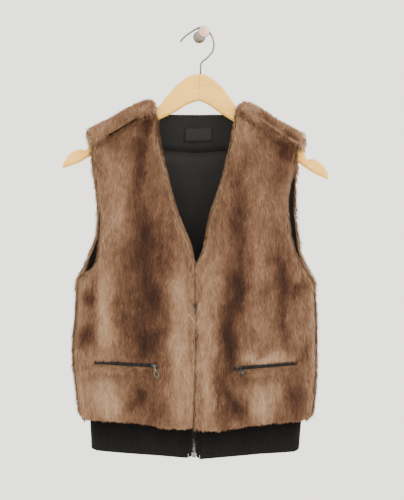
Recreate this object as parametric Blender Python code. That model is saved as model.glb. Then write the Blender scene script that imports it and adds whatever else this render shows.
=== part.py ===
# Fur vest hanging on a contoured wooden hanger, which hangs by its wire hook on a short wall peg.
# Sizes are in millimetres here and become metres when a mesh is made. X is right, Z is up, and the
# vest faces -Y. The wall is the plane y = 0, and the origin is the middle of the peg's wall face.
# Right and left are the wearer's, so right is at -X.
import math

import bpy
import numpy as np

MM = 0.001
PEG_AT = (-1.4, 6.8)  # x and z of the peg on the wall before everything moves so that it is the origin

# The body
SEAM_GAP = 0.2  # each panel stops this far short of a seam line
FUR = 13.0  # thickness of pelt and pile
FUR_SHOULDER = 16.5
ROUND_EDGE = 12.0  # width of the band in which a free edge thins out
CENTRE_X = -8.6
ROUNDNESS = 2.4  # 2 is an ellipse, and more is squarer
RIDGE_RADIUS = 12.0  # of the fold over a hanger arm, at the back of the pelt
LINING_OUT, LINING_IN = 1.2, 2.3  # depths of the lining's two faces behind the pelt

# z, x of the right side, x of the left side, half the depth, each at the back of the pelt
BODY_RINGS = (
    (-120, -232, 220, 30),
    (-200, -212, 196, 31),
    (-250, -203, 186, 32),
    (-300, -197, 181, 33),
    (-350, -194, 178, 33),
    (-400, -193, 178, 33),
    (-439, -196, 181, 33),
    (-466, -197.5, 182.5, 33),
    (-493, -201, 184, 32.5),
    (-520, -202, 184, 32),
    (-546, -201, 184, 31),
    (-573, -197.5, 182.5, 29.5),
    (-600, -194.5, 181, 28),
    (-627, -190.5, 178, 26),
    (-660, -187, 174, 24.5),
)
# x and z of the ridge over the arms, at the back of the pelt
RIDGE = (
    (-190, -170), (-165, -158), (-145, -149), (-125, -138), (-105, -123), (-80, -116),
    (-66, -111), (-50, -100), (0, -92), (40, -96), (56, -104), (64, -113.5), (75, -119.5), (89, -126),
    (108, -140), (127, -153), (145, -163), (162, -172), (180, -184),
)
# x and z of the forward shoulder seams
SEAM_RIGHT = (
    (-190, -186), (-173, -177.5), (-147, -162), (-135, -154), (-126, -150), (-117, -145),
    (-108.5, -138.5), (-103, -132), (-72, -128),
)
SEAM_LEFT = (
    (59, -124), (82.5, -131), (101, -139), (122, -150), (141, -163), (160, -179), (180, -196),
)
# x and z of the fur's lower edge
HEM = (
    (-200, -632), (-183, -637), (-136, -638.5), (-98, -640), (-76, -645), (-54, -650), (-13, -649),
    (0, -652), (28, -654), (42, -652), (81, -645), (113, -642), (170, -638), (190, -632),
)
# z, x of the front edge from the hem to the shoulder
EDGE_RIGHT = (
    (-656, -10.6), (-595, -9.3), (-520, -6.6), (-472, -6.6), (-466, -11.0),
    (-436, -11.9), (-431, -8.7), (-379.5, -9.6), (-358, -14.3), (-335, -19.9), (-305, -35.1),
    (-267, -46.5), (-237, -54.1), (-192, -65.4), (-145, -73), (-120, -73),
)
EDGE_LEFT = (
    (-656, -9.6), (-595, -8.3), (-520, -5.6), (-472, -5.6), (-466, -3.0),
    (-436, -3.4), (-431, -7.7), (-379.5, -8.6), (-371, 0.9), (-349, 8.5), (-316, 14.1),
    (-290, 19.8), (-265, 29.2), (-237, 38.8), (-197, 48.2), (-169, 53.8), (-146, 58), (-120, 59.5),
)
# z, x of the front's and the back's armhole edges
ARM_RIGHT = (
    (-402, -193), (-398, -191), (-391, -183), (-384, -172.8), (-372, -167.1), (-351, -165.8),
    (-321, -162.3), (-293, -162.2), (-273, -166.5), (-222, -175.1), (-193, -179.9), (-170, -184),
)
ARM_LEFT = (
    (-402, 178), (-394, 174), (-381, 168.5), (-369, 161), (-357, 154.5), (-342, 148.7),
    (-316, 145.9), (-296, 144), (-258, 144.5), (-240, 149), (-215, 157.3), (-193, 161),
    (-170, 171),
)
BACK_ARM_RIGHT = (
    (-402, -193), (-386, -190.5), (-372, -186), (-359, -182), (-346, -176), (-332, -171),
    (-305, -168.5), (-280, -168.5), (-255, -171), (-222, -176.5), (-188, -181.5), (-165, -184),
)
BACK_ARM_LEFT = (
    (-402, 178), (-394, 176.5), (-384, 174.5), (-371, 169.5), (-352, 163), (-320.5, 159.5),
    (-295, 156), (-272, 156.5), (-238, 157.3), (-213, 160.5), (-196, 162.5), (-170, 171.5),
)
# Pocket lines: x and z of both ends
POCKET_RIGHT = ((-174, -540.5), (-68.6, -545.9))
POCKET_LEFT = ((158.4, -542.6), (52.8, -550.3))
# Folds of the fur: ends x0, z0, x1, z1, then the width and depth of the dent, or a swell if below 0
FRONT_FOLDS = (
    (-105, -128, -103, -170, 7, 6), (-103, -170, -97, -215, 8, 6), (-97, -215, -88, -272, 11, 4.5),
    (-88, -272, -86, -400, 16, 3.5), (-52, -300, -40, -520, 13, -3), (-88, -400, -80, -520, 18, 2.5),
    (-140, -250, -150, -500, 20, -2), (-193, -395, -204, -475, 9, 4), (-198, -476, -204, -530, 9, 2),
    (-72, -562, -115, -622, 9, 3), (-150, -570, -140, -630, 20, -2), (22, -330, 18, -560, 14, -2.5),
    (48, -400, 46, -530, 8, 3.5), (66, -230, 68, -360, 12, 3.5), (98, -200, 103, -520, 16, -2.5),
    (134, -350, 137, -470, 11, 3.5), (165, -385, 168, -440, 9, 4), (46, -575, 70, -632, 8, 3.5),
    (30, -560, 31, -640, 6, 2), (110, -560, 112, -630, 18, -2), (62, -150, 66, -215, 8, 3.5),
    (120, -160, 128, -200, 9, 4), (181, -500, 174, -540, 8, 3),
)
BACK_FOLDS = (
    (-110, -170, -98, -330, 12, 3.5), (-40, -180, -46, -420, 14, 2.5), (20, -170, 24, -380, 13, 3),
    (84, -180, 92, -350, 12, 3.5), (-150, -330, -130, -520, 16, 3), (-70, -420, -76, -600, 14, 3),
    (-12, -420, -16, -610, 12, 2.5), (50, -430, 58, -610, 14, 3), (130, -340, 118, -540, 16, 3),
    (-120, -560, -124, -630, 10, 2.5), (110, -560, 104, -630, 10, 2.5),
)

# The ribbed hem
RIB_TUCK = 12.0  # how far it runs up behind the fur
RIB_PITCH, RIB_DEEP, RIB_WALL = 4.9, 1.2, 3.0
# z, x of the right side, x of the left side, half the depth, each at the crests
BAND_RINGS = ((-615, -184.8, 171.0, 22.6), (-640, -184.4, 170.4, 22.6), (-705, -180.4, 163.8, 21.6))
# x and z of the lower edge
BAND_END = (
    (-185, -684), (-180.5, -687.6), (-172.5, -689.8), (-128, -692.7), (-69, -696.4), (-22.5, -700.3),
    (-13.5, -697), (-6, -698), (0.4, -702.5), (101.6, -694), (160.5, -691.5), (165, -689), (172, -684),
)
PLACKET = 6.2
ZIP_X = -10.0  # the zip's middle at the hem
ZIP_HALF = 3.3

# The hanger: x, top, underside and half the thickness, for one arm before the tilt
ARM = (
    (0.15, -59.8, -105.0, 7.0), (10, -61.2, -108.0, 7.0), (21, -66.5, -113.5, 7.0),
    (39, -81.5, -126.0, 7.0), (57, -104.0, -136.0, 7.0), (64, -115.5, -139.5, 7.0),
    (72, -124.5, -144.5, 7.0), (85, -131.5, -150.5, 7.0), (105, -142.0, -163.0, 7.0), (122, -151.5, -172.5, 7.0),
    (140, -160.5, -184.0, 7.0), (170, -178.0, -202.8, 7.0), (179, -186.0, -208.5, 7.0),
    (183, -196.0, -211.0, 7.0), (187, -198.0, -213.5, 7.0), (190.5, -196.8, -216.0, 7.0),
    (194, -196.0, -218.0, 7.0), (203, -199.5, -222.5, 7.0), (212, -206.3, -226.0, 6.6),
    (218, -216.1, -228.6, 5.5), (221.3, -224.0, -229.8, 3.6),
)
TILT = math.radians(2.4)
HANGER_X = 2.0
HANGER_Y, HANGER_LEAN = -32.0, 0.12  # the arms' tips come forward
WIRE = 1.6  # radius
HOOK = (
    (-33.3, -5.6), (-30.0, -1.2), (-24.0, 4.6), (-17.0, 9.6), (-9.6, 14.4), (-2.0, 18.0),
    (4.4, 19.1), (10.6, 16.0), (16.4, 9.6), (21.6, 0.5), (23.7, -10.8), (21.0, -22.6),
    (11.5, -33.2), (4.2, -38.6), (1.4, -42.4), (0.9, -48.0), (0.8, -58.8),
)
PEG_END = (6.7, -45.0, 9.9)


def look_up(table, at, column=1):
    rows = np.array(table, float)
    order = np.argsort(rows[:, 0])
    return np.interp(at, rows[order, 0], rows[order, column])


def seam_z(side, x):
    """z of the forward shoulder seam at x, kept below the rounded ridge."""
    return min(look_up(SEAM_RIGHT if side < 0 else SEAM_LEFT, x), look_up(RIDGE, x) - 12.5)


def smooth(t):
    t = np.clip(t, 0.0, 1.0)
    return t * t * (3 - 2 * t)


def hanger_y(x):
    return HANGER_Y - HANGER_LEAN * abs(x + 4.3)


def ring_depth(rings, x, z):
    """Half the depth of a flattened ring at x, squared."""
    side = look_up(rings, z, 1 if x < CENTRE_X else 2)
    half = look_up(rings, z, 3)
    across = min(abs(x - CENTRE_X) / abs(side - CENTRE_X), 1.0)
    return half * half * (1 - across**ROUNDNESS) ** (2 / ROUNDNESS)


def middle_y(x, z):
    """Halfway between the front and the back."""
    down = look_up(RIDGE, x) - z
    return hanger_y(x) + (-47.5 - hanger_y(x)) * smooth(down / 230)


def depth_squared(x, z):
    """Half the distance from front to back, squared."""
    down = look_up(RIDGE, x) - z
    full = math.sqrt(ring_depth(BODY_RINGS, x, z))
    half = RIDGE_RADIUS + (full - RIDGE_RADIUS) * smooth(down / 210)
    if full < RIDGE_RADIUS:
        half = full + (RIDGE_RADIUS - full) * (1 - smooth(down / 150))
    bend = 1 - min(max(down / RIDGE_RADIUS, 0.0), 1.0)
    return half * half * (1 - bend * bend)


def pelt(x, z, face):
    """A point at the back of the pelt and the direction out of the body. face is -1 at the front."""
    mid = middle_y(x, z)
    reach = face * math.sqrt(max(depth_squared(x, z), 0.0))
    step = 0.5
    out = np.array([
        -2 * reach * (middle_y(x + step, z) - middle_y(x - step, z))
        - (depth_squared(x + step, z) - depth_squared(x - step, z)),
        4 * step * reach,
        -2 * reach * (middle_y(x, z + step) - middle_y(x, z - step))
        - (depth_squared(x, z + step) - depth_squared(x, z - step)),
    ])
    if np.linalg.norm(out) < 1e-6:
        out = np.array([math.copysign(1.0, x - CENTRE_X), 0.0, 0.0])
    return np.array([x, mid + reach, z]), out / np.linalg.norm(out)


def band(x, z, face):
    """The same for the hem band, at the crests of the ribs."""
    reach = math.sqrt(ring_depth(BAND_RINGS, x, z))
    step = 0.2
    slope = ring_depth(BAND_RINGS, x + step, z) - ring_depth(BAND_RINGS, x - step, z)
    out = np.array([-slope, 4 * step * face * reach, 0.0])
    if np.linalg.norm(out) < 1e-6:
        out = np.array([math.copysign(1.0, x - CENTRE_X), 0.0, 0.0])
    return np.array([x, -47.5 + face * reach, z]), out / np.linalg.norm(out)


def rounded(distance, least, width=ROUND_EDGE):
    """The share of the full thickness at this distance from an edge."""
    t = 1 - np.clip(distance / width, 0.0, 1.0)
    return least + (1 - least) * math.sqrt(max(1 - t * t, 0.0))


def folds_at(folds, x, z):
    total = 0.0
    for x0, z0, x1, z1, width, deep in folds:
        along = np.array([x1 - x0, z1 - z0])
        t = np.clip(np.dot([x - x0, z - z0], along) / np.dot(along, along), 0.0, 1.0)
        away = np.hypot(x - x0 - t * along[0], z - z0 - t * along[1])
        total += deep * math.exp(-((away / width) ** 2))
    return total


def material(name, colour, rough=0.8, metal=0.0):
    made = bpy.data.materials.new(name)
    made.use_nodes = True
    shader = made.node_tree.nodes["Principled BSDF"]
    shader.inputs["Base Color"].default_value = (*colour, 1)
    shader.inputs["Roughness"].default_value = rough
    shader.inputs["Metallic"].default_value = metal
    return made


MATERIALS = {}


def make(name, points, faces, look):
    """One closed node in metres, moved so that the peg's wall face is at the origin."""
    mesh = bpy.data.meshes.new(name)
    moved = [((p[0] - PEG_AT[0]) * MM, p[1] * MM, (p[2] - PEG_AT[1]) * MM) for p in points]
    mesh.from_pydata(moved, [], [list(f) for f in faces])
    mesh.validate()
    mesh.materials.append(material(name, *look))
    made = bpy.data.objects.new(name, mesh)
    bpy.context.scene.collection.objects.link(made)
    return made


def shell(name, outer, inner, used, look):
    """A closed sheet between two grids of points. used tells which cells of the grid exist."""
    rows, columns = len(outer), len(outer[0])
    points = [p for row in outer for p in row] + [p for row in inner for p in row]
    below = rows * columns
    faces = []
    edges = {}
    for i in range(rows - 1):
        for j in range(columns - 1):
            if not used(i, j):
                continue
            a, b = i * columns + j, i * columns + j + 1
            c, d = b + columns, a + columns
            faces.append((a, b, c, d))
            faces.append((d + below, c + below, b + below, a + below))
            for start, end in ((a, b), (b, c), (c, d), (d, a)):
                if (end, start) in edges:
                    del edges[end, start]
                else:
                    edges[start, end] = True
    for start, end in edges:
        faces.append((end, start, start + below, end + below))
    kept = sorted({v for face in faces for v in face})
    place = {v: n for n, v in enumerate(kept)}
    faces = [[place[v] for v in face] for face in faces]
    return make(name, [points[v] for v in kept], outward([points[v] for v in kept], faces), look)


def outward(points, faces):
    """The faces, turned round if they face into the solid."""
    volume = 0.0
    for face in faces:
        a = np.array(points[face[0]])
        for k in range(1, len(face) - 1):
            volume += np.dot(a, np.cross(points[face[k]], points[face[k + 1]]))
    return faces if volume > 0 else [list(reversed(face)) for face in faces]


def loft(name, loops, look):
    """A closed solid through loops of equal length, with flat ends."""
    count = len(loops[0])
    points = [p for loop in loops for p in loop]
    faces = []
    for i in range(len(loops) - 1):
        for j in range(count):
            a, b = i * count + j, i * count + (j + 1) % count
            faces.append((a, b, b + count, a + count))
    faces.append(list(reversed(range(count))))
    faces.append(list(range(len(points) - count, len(points))))
    return make(name, points, outward(points, faces), look)


bpy.context.scene.unit_settings.system = "METRIC"
for old in list(bpy.data.objects):
    bpy.data.objects.remove(old)

FUR_LOOK = ((0.42, 0.30, 0.21), 0.9)
BLACK_LOOK = ((0.02, 0.02, 0.022), 0.7)
KNIT_LOOK = ((0.018, 0.017, 0.018), 0.95)
STEEL_LOOK = ((0.62, 0.62, 0.64), 0.3, 1.0)
GUNMETAL_LOOK = ((0.10, 0.10, 0.11), 0.35, 1.0)

# The back's grid comes first, because the fronts end on its seam rows
NECK_RIGHT, NECK_LEFT = -72.5, 62.0
NECK_SHARE = 0.39
NECK_TURN = {24: 1.5, 25: 2.0, 26: 1.5, 28: -2.5}  # the left neck edge swings out over the arm
BACK_HALF = (0, 0.13, 0.26, 0.36, NECK_SHARE, 0.43, 0.5, 0.62, 0.74, 0.85, 0.92, 0.965, 0.988, 1)
BACK_COLUMNS = [(-1, s) for s in reversed(BACK_HALF)] + [(1, s) for s in BACK_HALF[1:]]
NECK_INDEX = [k for k, (_, s) in enumerate(BACK_COLUMNS) if s == NECK_SHARE]
# Rows from the hem up: kind, how far, and z at the armhole. The last six run over the shoulders.
BACK_ROWS = (
    ("hem", 0, 0), ("hem", 3.5, 0), ("hem", 11, 0), ("level", -616, -612), ("level", -588, -588),
    ("level", -556, -556), ("level", -522, -520), ("level", -488, -488), ("level", -456, -455),
    ("level", -426, -424), ("level", -402, -400), ("level", -380, -386), ("level", -360, -372),
    ("level", -334, -350), ("level", -304, -325), ("level", -274, -298), ("level", -244, -272),
    ("level", -213, -244), ("top", 46, 0), ("top", 24, 0), ("top", 9, 0), ("top", 3.5, 0),
    ("top", 0, 0), ("back", 11, 0), ("back", 4, 0), ("back", 0.6, 0), ("front", 2.6, 0),
    ("front", 9, 0), ("seam", 0, 0),
)
BACK_UNDERARM = 10
NECK_ROW = 22
FACING_ROW = 18
FACING_DROP = 18.0  # how much further down the facing reaches at the middle than beside the armholes
NECK_Z = -127.5


def back_top(x):
    """z of the row that is the neckline between the shoulders and runs behind the ridge beside it."""
    beside = look_up(RIDGE, x) - 22
    inside = smooth((min(x - NECK_RIGHT, NECK_LEFT - x) + 14) / 22)
    return beside + (NECK_Z - beside) * inside


def back_grid():
    points, outs, thick = [], [], []
    for i, (kind, far, at_arm) in enumerate(BACK_ROWS):
        row_p, row_n, row_t = [], [], []
        for side, share in BACK_COLUMNS:
            arm = BACK_ARM_RIGHT if side < 0 else BACK_ARM_LEFT
            neck = NECK_RIGHT if side < 0 else NECK_LEFT + NECK_TURN.get(i, 0.0)
            over = kind in ("back", "front", "seam")
            face = -1 if kind in ("front", "seam") else 1
            z = -500.0 if not over else -150.0
            for _ in range(12):
                z_side = at_arm if kind == "level" else z
                if i <= BACK_UNDERARM:
                    x1 = look_up(BODY_RINGS, z_side, 1 if side < 0 else 2)
                elif kind == "level":
                    x1 = look_up(arm, z_side)
                elif kind == "top":
                    x1 = look_up(arm, back_top(look_up(arm, z)) - far)
                elif kind == "seam":
                    front_arm = ARM_RIGHT if side < 0 else ARM_LEFT
                    x1 = look_up(front_arm, seam_z(side, look_up(front_arm, z)))
                else:
                    x1 = look_up(arm, -165)
                upper = smooth((z + 330) / 150) if not over else 1.0
                at_neck = CENTRE_X + (x1 - CENTRE_X) * NECK_SHARE
                at_neck += (neck - at_neck) * upper
                if share <= NECK_SHARE:
                    x = CENTRE_X + (at_neck - CENTRE_X) * share / NECK_SHARE
                else:
                    x = at_neck + (x1 - at_neck) * (share - NECK_SHARE) / (1 - NECK_SHARE)
                if kind == "hem":
                    z = look_up(HEM, 0.5 * x + 0.5 * side * 150) + far
                elif kind == "level":
                    z = far + (at_arm - far) * smooth(share)
                elif kind == "top":
                    z = back_top(x) - far - (FACING_DROP * (1 - smooth(share)) if i == FACING_ROW else 0)
                elif kind == "seam":
                    z = seam_z(side, x)
                else:
                    z = look_up(RIDGE, x) - far
            p, n = pelt(x, z, face)
            down = look_up(RIDGE, x) - z
            t = FUR + (FUR_SHOULDER - FUR) * (1 - smooth(down / 70))
            from_side = abs(x - x1)
            if i <= BACK_UNDERARM:
                t *= rounded(from_side, 0.93, 8)
            else:
                t *= rounded(from_side, 0.4)
            t *= rounded(z - look_up(HEM, 0.5 * x + 0.5 * side * 150), 0.3, 14) if i < 6 else 1.0
            if over:
                t *= rounded(abs(x - neck), 0.35)
                if kind == "seam":
                    t *= 0.86
            elif kind == "top":
                inward = (neck - x) * side
                if inward >= 0:
                    t *= rounded(far, 0.35)
                else:
                    t *= rounded(max(far, 0.0) - inward, 0.35)
            t -= 0.0 if over else folds_at(BACK_FOLDS, x, z) * rounded(from_side, 0.2)
            p_out = p + n * max(t, 3.5)
            p_out[1] = min(p_out[1], -1.5)
            row_p.append(p)
            row_n.append(n)
            row_t.append(p_out)
        points.append(row_p)
        outs.append(row_n)
        thick.append(row_t)
    return np.array(points), np.array(outs), np.array(thick)


BACK_POINTS, BACK_OUTS, BACK_FUR = back_grid()
BACK_LAST = len(BACK_ROWS) - 1

# Fronts
# Rows of a front, from the hem up. The kind tells how z runs: up from the hem, beside the pocket
# line, level, or down from the shoulder seam, with how far, and the z at the armhole where it differs.
FRONT_ROWS = (
    ("hem", 0, 0), ("hem", 3.5, 0), ("hem", 11, 0), ("level", -618, -612), ("level", -595, -588),
    ("level", -572, -568), ("pocket", -7, 0), ("pocket", -3.4, 0), ("pocket", 3.4, 0),
    ("pocket", 7, 0), ("level", -520, -520), ("level", -496, -496), ("level", -472, -472),
    ("level", -466, -462), ("level", -436, -436), ("level", -430, -424), ("level", -400, -408),
    ("level", -380, -400), ("level", -371, -391), ("level", -358, -382), ("level", -342, -369),
    ("level", -318, -350), ("level", -291, -320), ("level", -262, -292), ("level", -228, -262),
    ("seam", 52, 0), ("seam", 24, 0), ("seam", 8, 0), ("seam", 0, 0),
)
# Shares of the width from the centre edge to the side
FRONT_COLUMNS = (
    0, 0.012, 0.035, 0.075, 0.165, 0.235, 0.298, 0.318, 0.46, 0.57, 0.69, 0.79, 0.860, 0.882,
    0.93, 0.965, 0.988, 1,
)
POCKET_ROWS, POCKET_COLUMNS = (7, 8), (7, 12)
UNDERARM_ROW = 17


def on_back_seam(side, x):
    """The point and direction at x on the line where the back's flap ends."""
    keep = slice(0, NECK_INDEX[0] + 1) if side < 0 else slice(NECK_INDEX[1], None)
    row, out = BACK_POINTS[-1][keep], BACK_OUTS[-1][keep]
    order = np.argsort(row[:, 0])
    p = np.array([np.interp(x, row[order, 0], row[order, k]) for k in range(3)])
    n = np.array([np.interp(x, row[order, 0], out[order, k]) for k in range(3)])
    return p, n / np.linalg.norm(n)


def flap_reach(side, x):
    """From the back of the pelt to the pile at x on the same line."""
    keep = slice(0, NECK_INDEX[0] + 1) if side < 0 else slice(NECK_INDEX[1], None)
    row, reach = BACK_POINTS[-1][keep], (BACK_FUR - BACK_POINTS)[-1][keep]
    order = np.argsort(row[:, 0])
    return np.array([np.interp(x, row[order, 0], reach[order, k]) for k in range(3)])


def front_grid(side):
    """(points at the back of the pelt, directions out, thicknesses). side is -1 for the right."""
    edge, arm, pocket = (
        (EDGE_RIGHT, ARM_RIGHT, POCKET_RIGHT) if side < 0 else (EDGE_LEFT, ARM_LEFT, POCKET_LEFT)
    )
    points, outs, thick = [], [], []
    for i, (kind, far, at_arm) in enumerate(FRONT_ROWS):
        row_p, row_n, row_t = [], [], []
        for share in FRONT_COLUMNS:
            # z depends on x and x on z, so they settle together.
            z = -500.0
            for _ in range(12):
                x0 = look_up(edge, z)
                z_side = z
                if kind == "level":
                    z_side = at_arm
                if i < UNDERARM_ROW:
                    x1 = look_up(BODY_RINGS, z_side, 1 if side < 0 else 2)
                elif kind == "level":
                    x1 = look_up(arm, z_side)
                else:
                    x1 = look_up(arm, seam_z(side, look_up(arm, z)) - far)
                x = x0 + (x1 - x0) * share
                if kind == "hem":
                    z = look_up(HEM, x) + far
                elif kind == "pocket":
                    ends = np.array(pocket)
                    t = (x - ends[0][0]) / (ends[1][0] - ends[0][0])
                    z = ends[0][1] + (ends[1][1] - ends[0][1]) * t + far
                elif kind == "seam":
                    z = seam_z(side, x) - far
                else:
                    z = far + (at_arm - far) * smooth(share)
            p, n = pelt(x, z, -1)
            if i == len(FRONT_ROWS) - 1:
                p, n = on_back_seam(side, x)
            down = look_up(RIDGE, x) - z
            t = FUR + (FUR_SHOULDER - FUR) * (1 - smooth(down / 70))
            if i < UNDERARM_ROW:
                t *= rounded(abs(x - x1), 0.93, 8) * rounded(abs(x - x0), 0.45, 9)
            else:
                t *= rounded(abs(x - x1), 0.4) * rounded(abs(x - x0), 0.35)
            t *= rounded(z - look_up(HEM, x), 0.3, 14)
            if kind == "seam":
                t *= rounded(far, 0.62, 16)
            t -= folds_at(FRONT_FOLDS, x, z) * rounded(min(abs(x - x1), abs(x - x0)), 0.2)
            t = max(t, 3.5)
            if i in POCKET_ROWS and POCKET_COLUMNS[0] <= FRONT_COLUMNS.index(share) <= POCKET_COLUMNS[1]:
                t = 3.2
            row_p.append(p)
            row_n.append(n)
            row_t.append(t)
        points.append(row_p)
        outs.append(row_n)
        thick.append(row_t)
    return np.array(points), np.array(outs), np.array(thick)


def pulled_in(points, rows=(), columns=(), by=SEAM_GAP):
    """The grid with some of its border rows and columns moved towards their neighbours."""
    points = points.copy()
    for i in rows:
        inner = 1 if i == 0 else i - 1
        way = points[inner] - points[i]
        points[i] += way / np.linalg.norm(way, axis=1, keepdims=True) * by
    for j in columns:
        inner = 1 if j == 0 else j - 1
        way = points[:, inner] - points[:, j]
        points[:, j] += way / np.linalg.norm(way, axis=1, keepdims=True) * by
    return points


FRONT = {}
LAST_ROW, LAST_COLUMN = len(FRONT_ROWS) - 1, len(FRONT_COLUMNS) - 1
LINING_ROWS = [2, 3, 5, 6, 9, 11, 13, 15, 16, 17, 18, 19, 20, 21, 22, 23, 24, 25, 26, 27, 28]
LINING_COLUMNS = [2, 4, 6, 9, 11, 13, 14, 15, 16, 17]


def make_front(side, word):
    points, outs, thick = front_grid(side)
    FRONT[word] = (points, outs, thick)
    base = pulled_in(points, rows=[LAST_ROW])
    base[: UNDERARM_ROW + 1] = pulled_in(base[: UNDERARM_ROW + 1], columns=[LAST_COLUMN])
    outer = base + outs * thick[..., None]
    for j in range(len(FRONT_COLUMNS)):
        outer[-1, j] = base[-1, j] + flap_reach(side, points[-1, j, 0]) * 0.72
    shell("fur_front_" + word, outer, base, lambda i, j: True, FUR_LOOK)
    # Lining, clear of the zip's tape at the centre and of the band at the hem
    cloth = points[np.ix_(LINING_ROWS, LINING_COLUMNS)].copy()
    face = outs[np.ix_(LINING_ROWS, LINING_COLUMNS)]
    for k in range(len(LINING_COLUMNS)):
        x = cloth[0, k, 0]
        cloth[0, k] = pelt(x, look_up(HEM, x) + RIB_TUCK + 3, -1)[0]
    for i in range(len(LINING_ROWS)):
        x = look_up(EDGE_RIGHT if side < 0 else EDGE_LEFT, cloth[i, 0, 2]) + side * 12
        if LINING_ROWS[i] > 18:
            x -= side * 10
        p, n = pelt(x, cloth[i, 0, 2], -1)
        cloth[i, 0], face[i, 0] = p, n
    cloth = pulled_in(cloth, rows=[len(LINING_ROWS) - 1], columns=[len(LINING_COLUMNS) - 1])
    shell(
        "lining_front_" + word,
        cloth - face * LINING_OUT,
        cloth - face * LINING_IN,
        lambda i, j: True,
        BLACK_LOOK,
    )


make_front(-1, "right")
make_front(1, "left")

def in_back(i, j):
    return i < NECK_ROW or j < NECK_INDEX[0] or j >= NECK_INDEX[1]


base = pulled_in(BACK_POINTS, rows=[BACK_LAST])
SIDES = [0, len(BACK_COLUMNS) - 1]
base[: BACK_UNDERARM + 1] = pulled_in(base[: BACK_UNDERARM + 1], columns=SIDES)
shell("fur_back", BACK_FUR + (base - BACK_POINTS), base, in_back, FUR_LOOK)

BACK_LINING_COLUMNS = [k for k, (_, s) in enumerate(BACK_COLUMNS) if s not in (0.13, 0.36, 0.43)]
LINING_NECK = [k for k, n in enumerate(BACK_LINING_COLUMNS) if n in NECK_INDEX]


def back_cloth(name, rows, mask):
    cloth = BACK_POINTS[np.ix_(rows, BACK_LINING_COLUMNS)].copy()
    face = BACK_OUTS[np.ix_(rows, BACK_LINING_COLUMNS)]
    if rows[0] == 2:
        for k in range(len(BACK_LINING_COLUMNS)):
            x = cloth[0, k, 0]
            side = BACK_COLUMNS[BACK_LINING_COLUMNS[k]][0]
            z = look_up(HEM, 0.5 * x + 0.5 * side * 150) + RIB_TUCK + 3
            cloth[0, k] = pelt(x, z, 1)[0]
    ends = [0] if rows[0] == FACING_ROW else []
    cloth = pulled_in(cloth, rows=ends + [len(rows) - 1], columns=[0, len(BACK_LINING_COLUMNS) - 1])
    shell(name, cloth - face * LINING_OUT, cloth - face * LINING_IN, mask, BLACK_LOOK)


back_cloth("lining_back", [2, 3, 4, 5, 6, 7, 8, 9, 10, 11, 12, 13, 14, 16, FACING_ROW], lambda i, j: True)
FACING = list(range(FACING_ROW, BACK_LAST + 1))
back_cloth(
    "neck_facing",
    FACING,
    lambda i, j: FACING[i] < NECK_ROW or j < LINING_NECK[0] or j >= LINING_NECK[1],
)

# Neck label, moved out from the facing
LABEL = (-26.4, 21.1, -150.4, -173.2, 1.0)
label_rows = []
for z in np.linspace(LABEL[3], LABEL[2], 3):
    label_rows.append([pelt(x, z + 1.2 * (x - LABEL[0]) / 47, 1) for x in np.linspace(LABEL[0], LABEL[1], 5)])
near = [[p - n * (LINING_IN + 0.8) for p, n in row] for row in label_rows]
far = [[p - n * (LINING_IN + 0.8 + LABEL[4]) for p, n in row] for row in label_rows]
shell("neck_label", far, near, lambda i, j: True, ((0.012, 0.012, 0.014), 0.6))


# Ribbed hem and the plackets
def arc_places(x_from, x_to, face, pitch):
    """x along the band's lower ring at equal steps of length, so that ribs keep their width."""
    dense = CENTRE_X + (np.sin(np.linspace(-math.pi / 2, math.pi / 2, 1201))) * 200
    dense = np.clip(dense, look_up(BAND_RINGS, -670, 1), look_up(BAND_RINGS, -670, 2))
    dense = np.unique(np.concatenate([dense, [x_from, x_to]]))
    dense = dense[(dense >= min(x_from, x_to)) & (dense <= max(x_from, x_to))]
    spots = np.array([band(x, -670, face)[0] for x in dense])
    length = np.concatenate([[0], np.cumsum(np.linalg.norm(np.diff(spots, axis=0), axis=1))])
    count = max(2, int(round(length[-1] / pitch)))
    return np.interp(np.linspace(0, length[-1], 2 * count + 1), length, dense)


def band_point(x_low, z, face, deep):
    """The band's point over or under the place x_low of the ring at z = -670."""
    share = (x_low - CENTRE_X) / abs(look_up(BAND_RINGS, -670, 1 if x_low < CENTRE_X else 2) - CENTRE_X)
    side = look_up(BAND_RINGS, z, 1 if x_low < CENTRE_X else 2)
    x = CENTRE_X + abs(side - CENTRE_X) * share
    p, n = band(x, z, face)
    return p - n * deep


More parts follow.
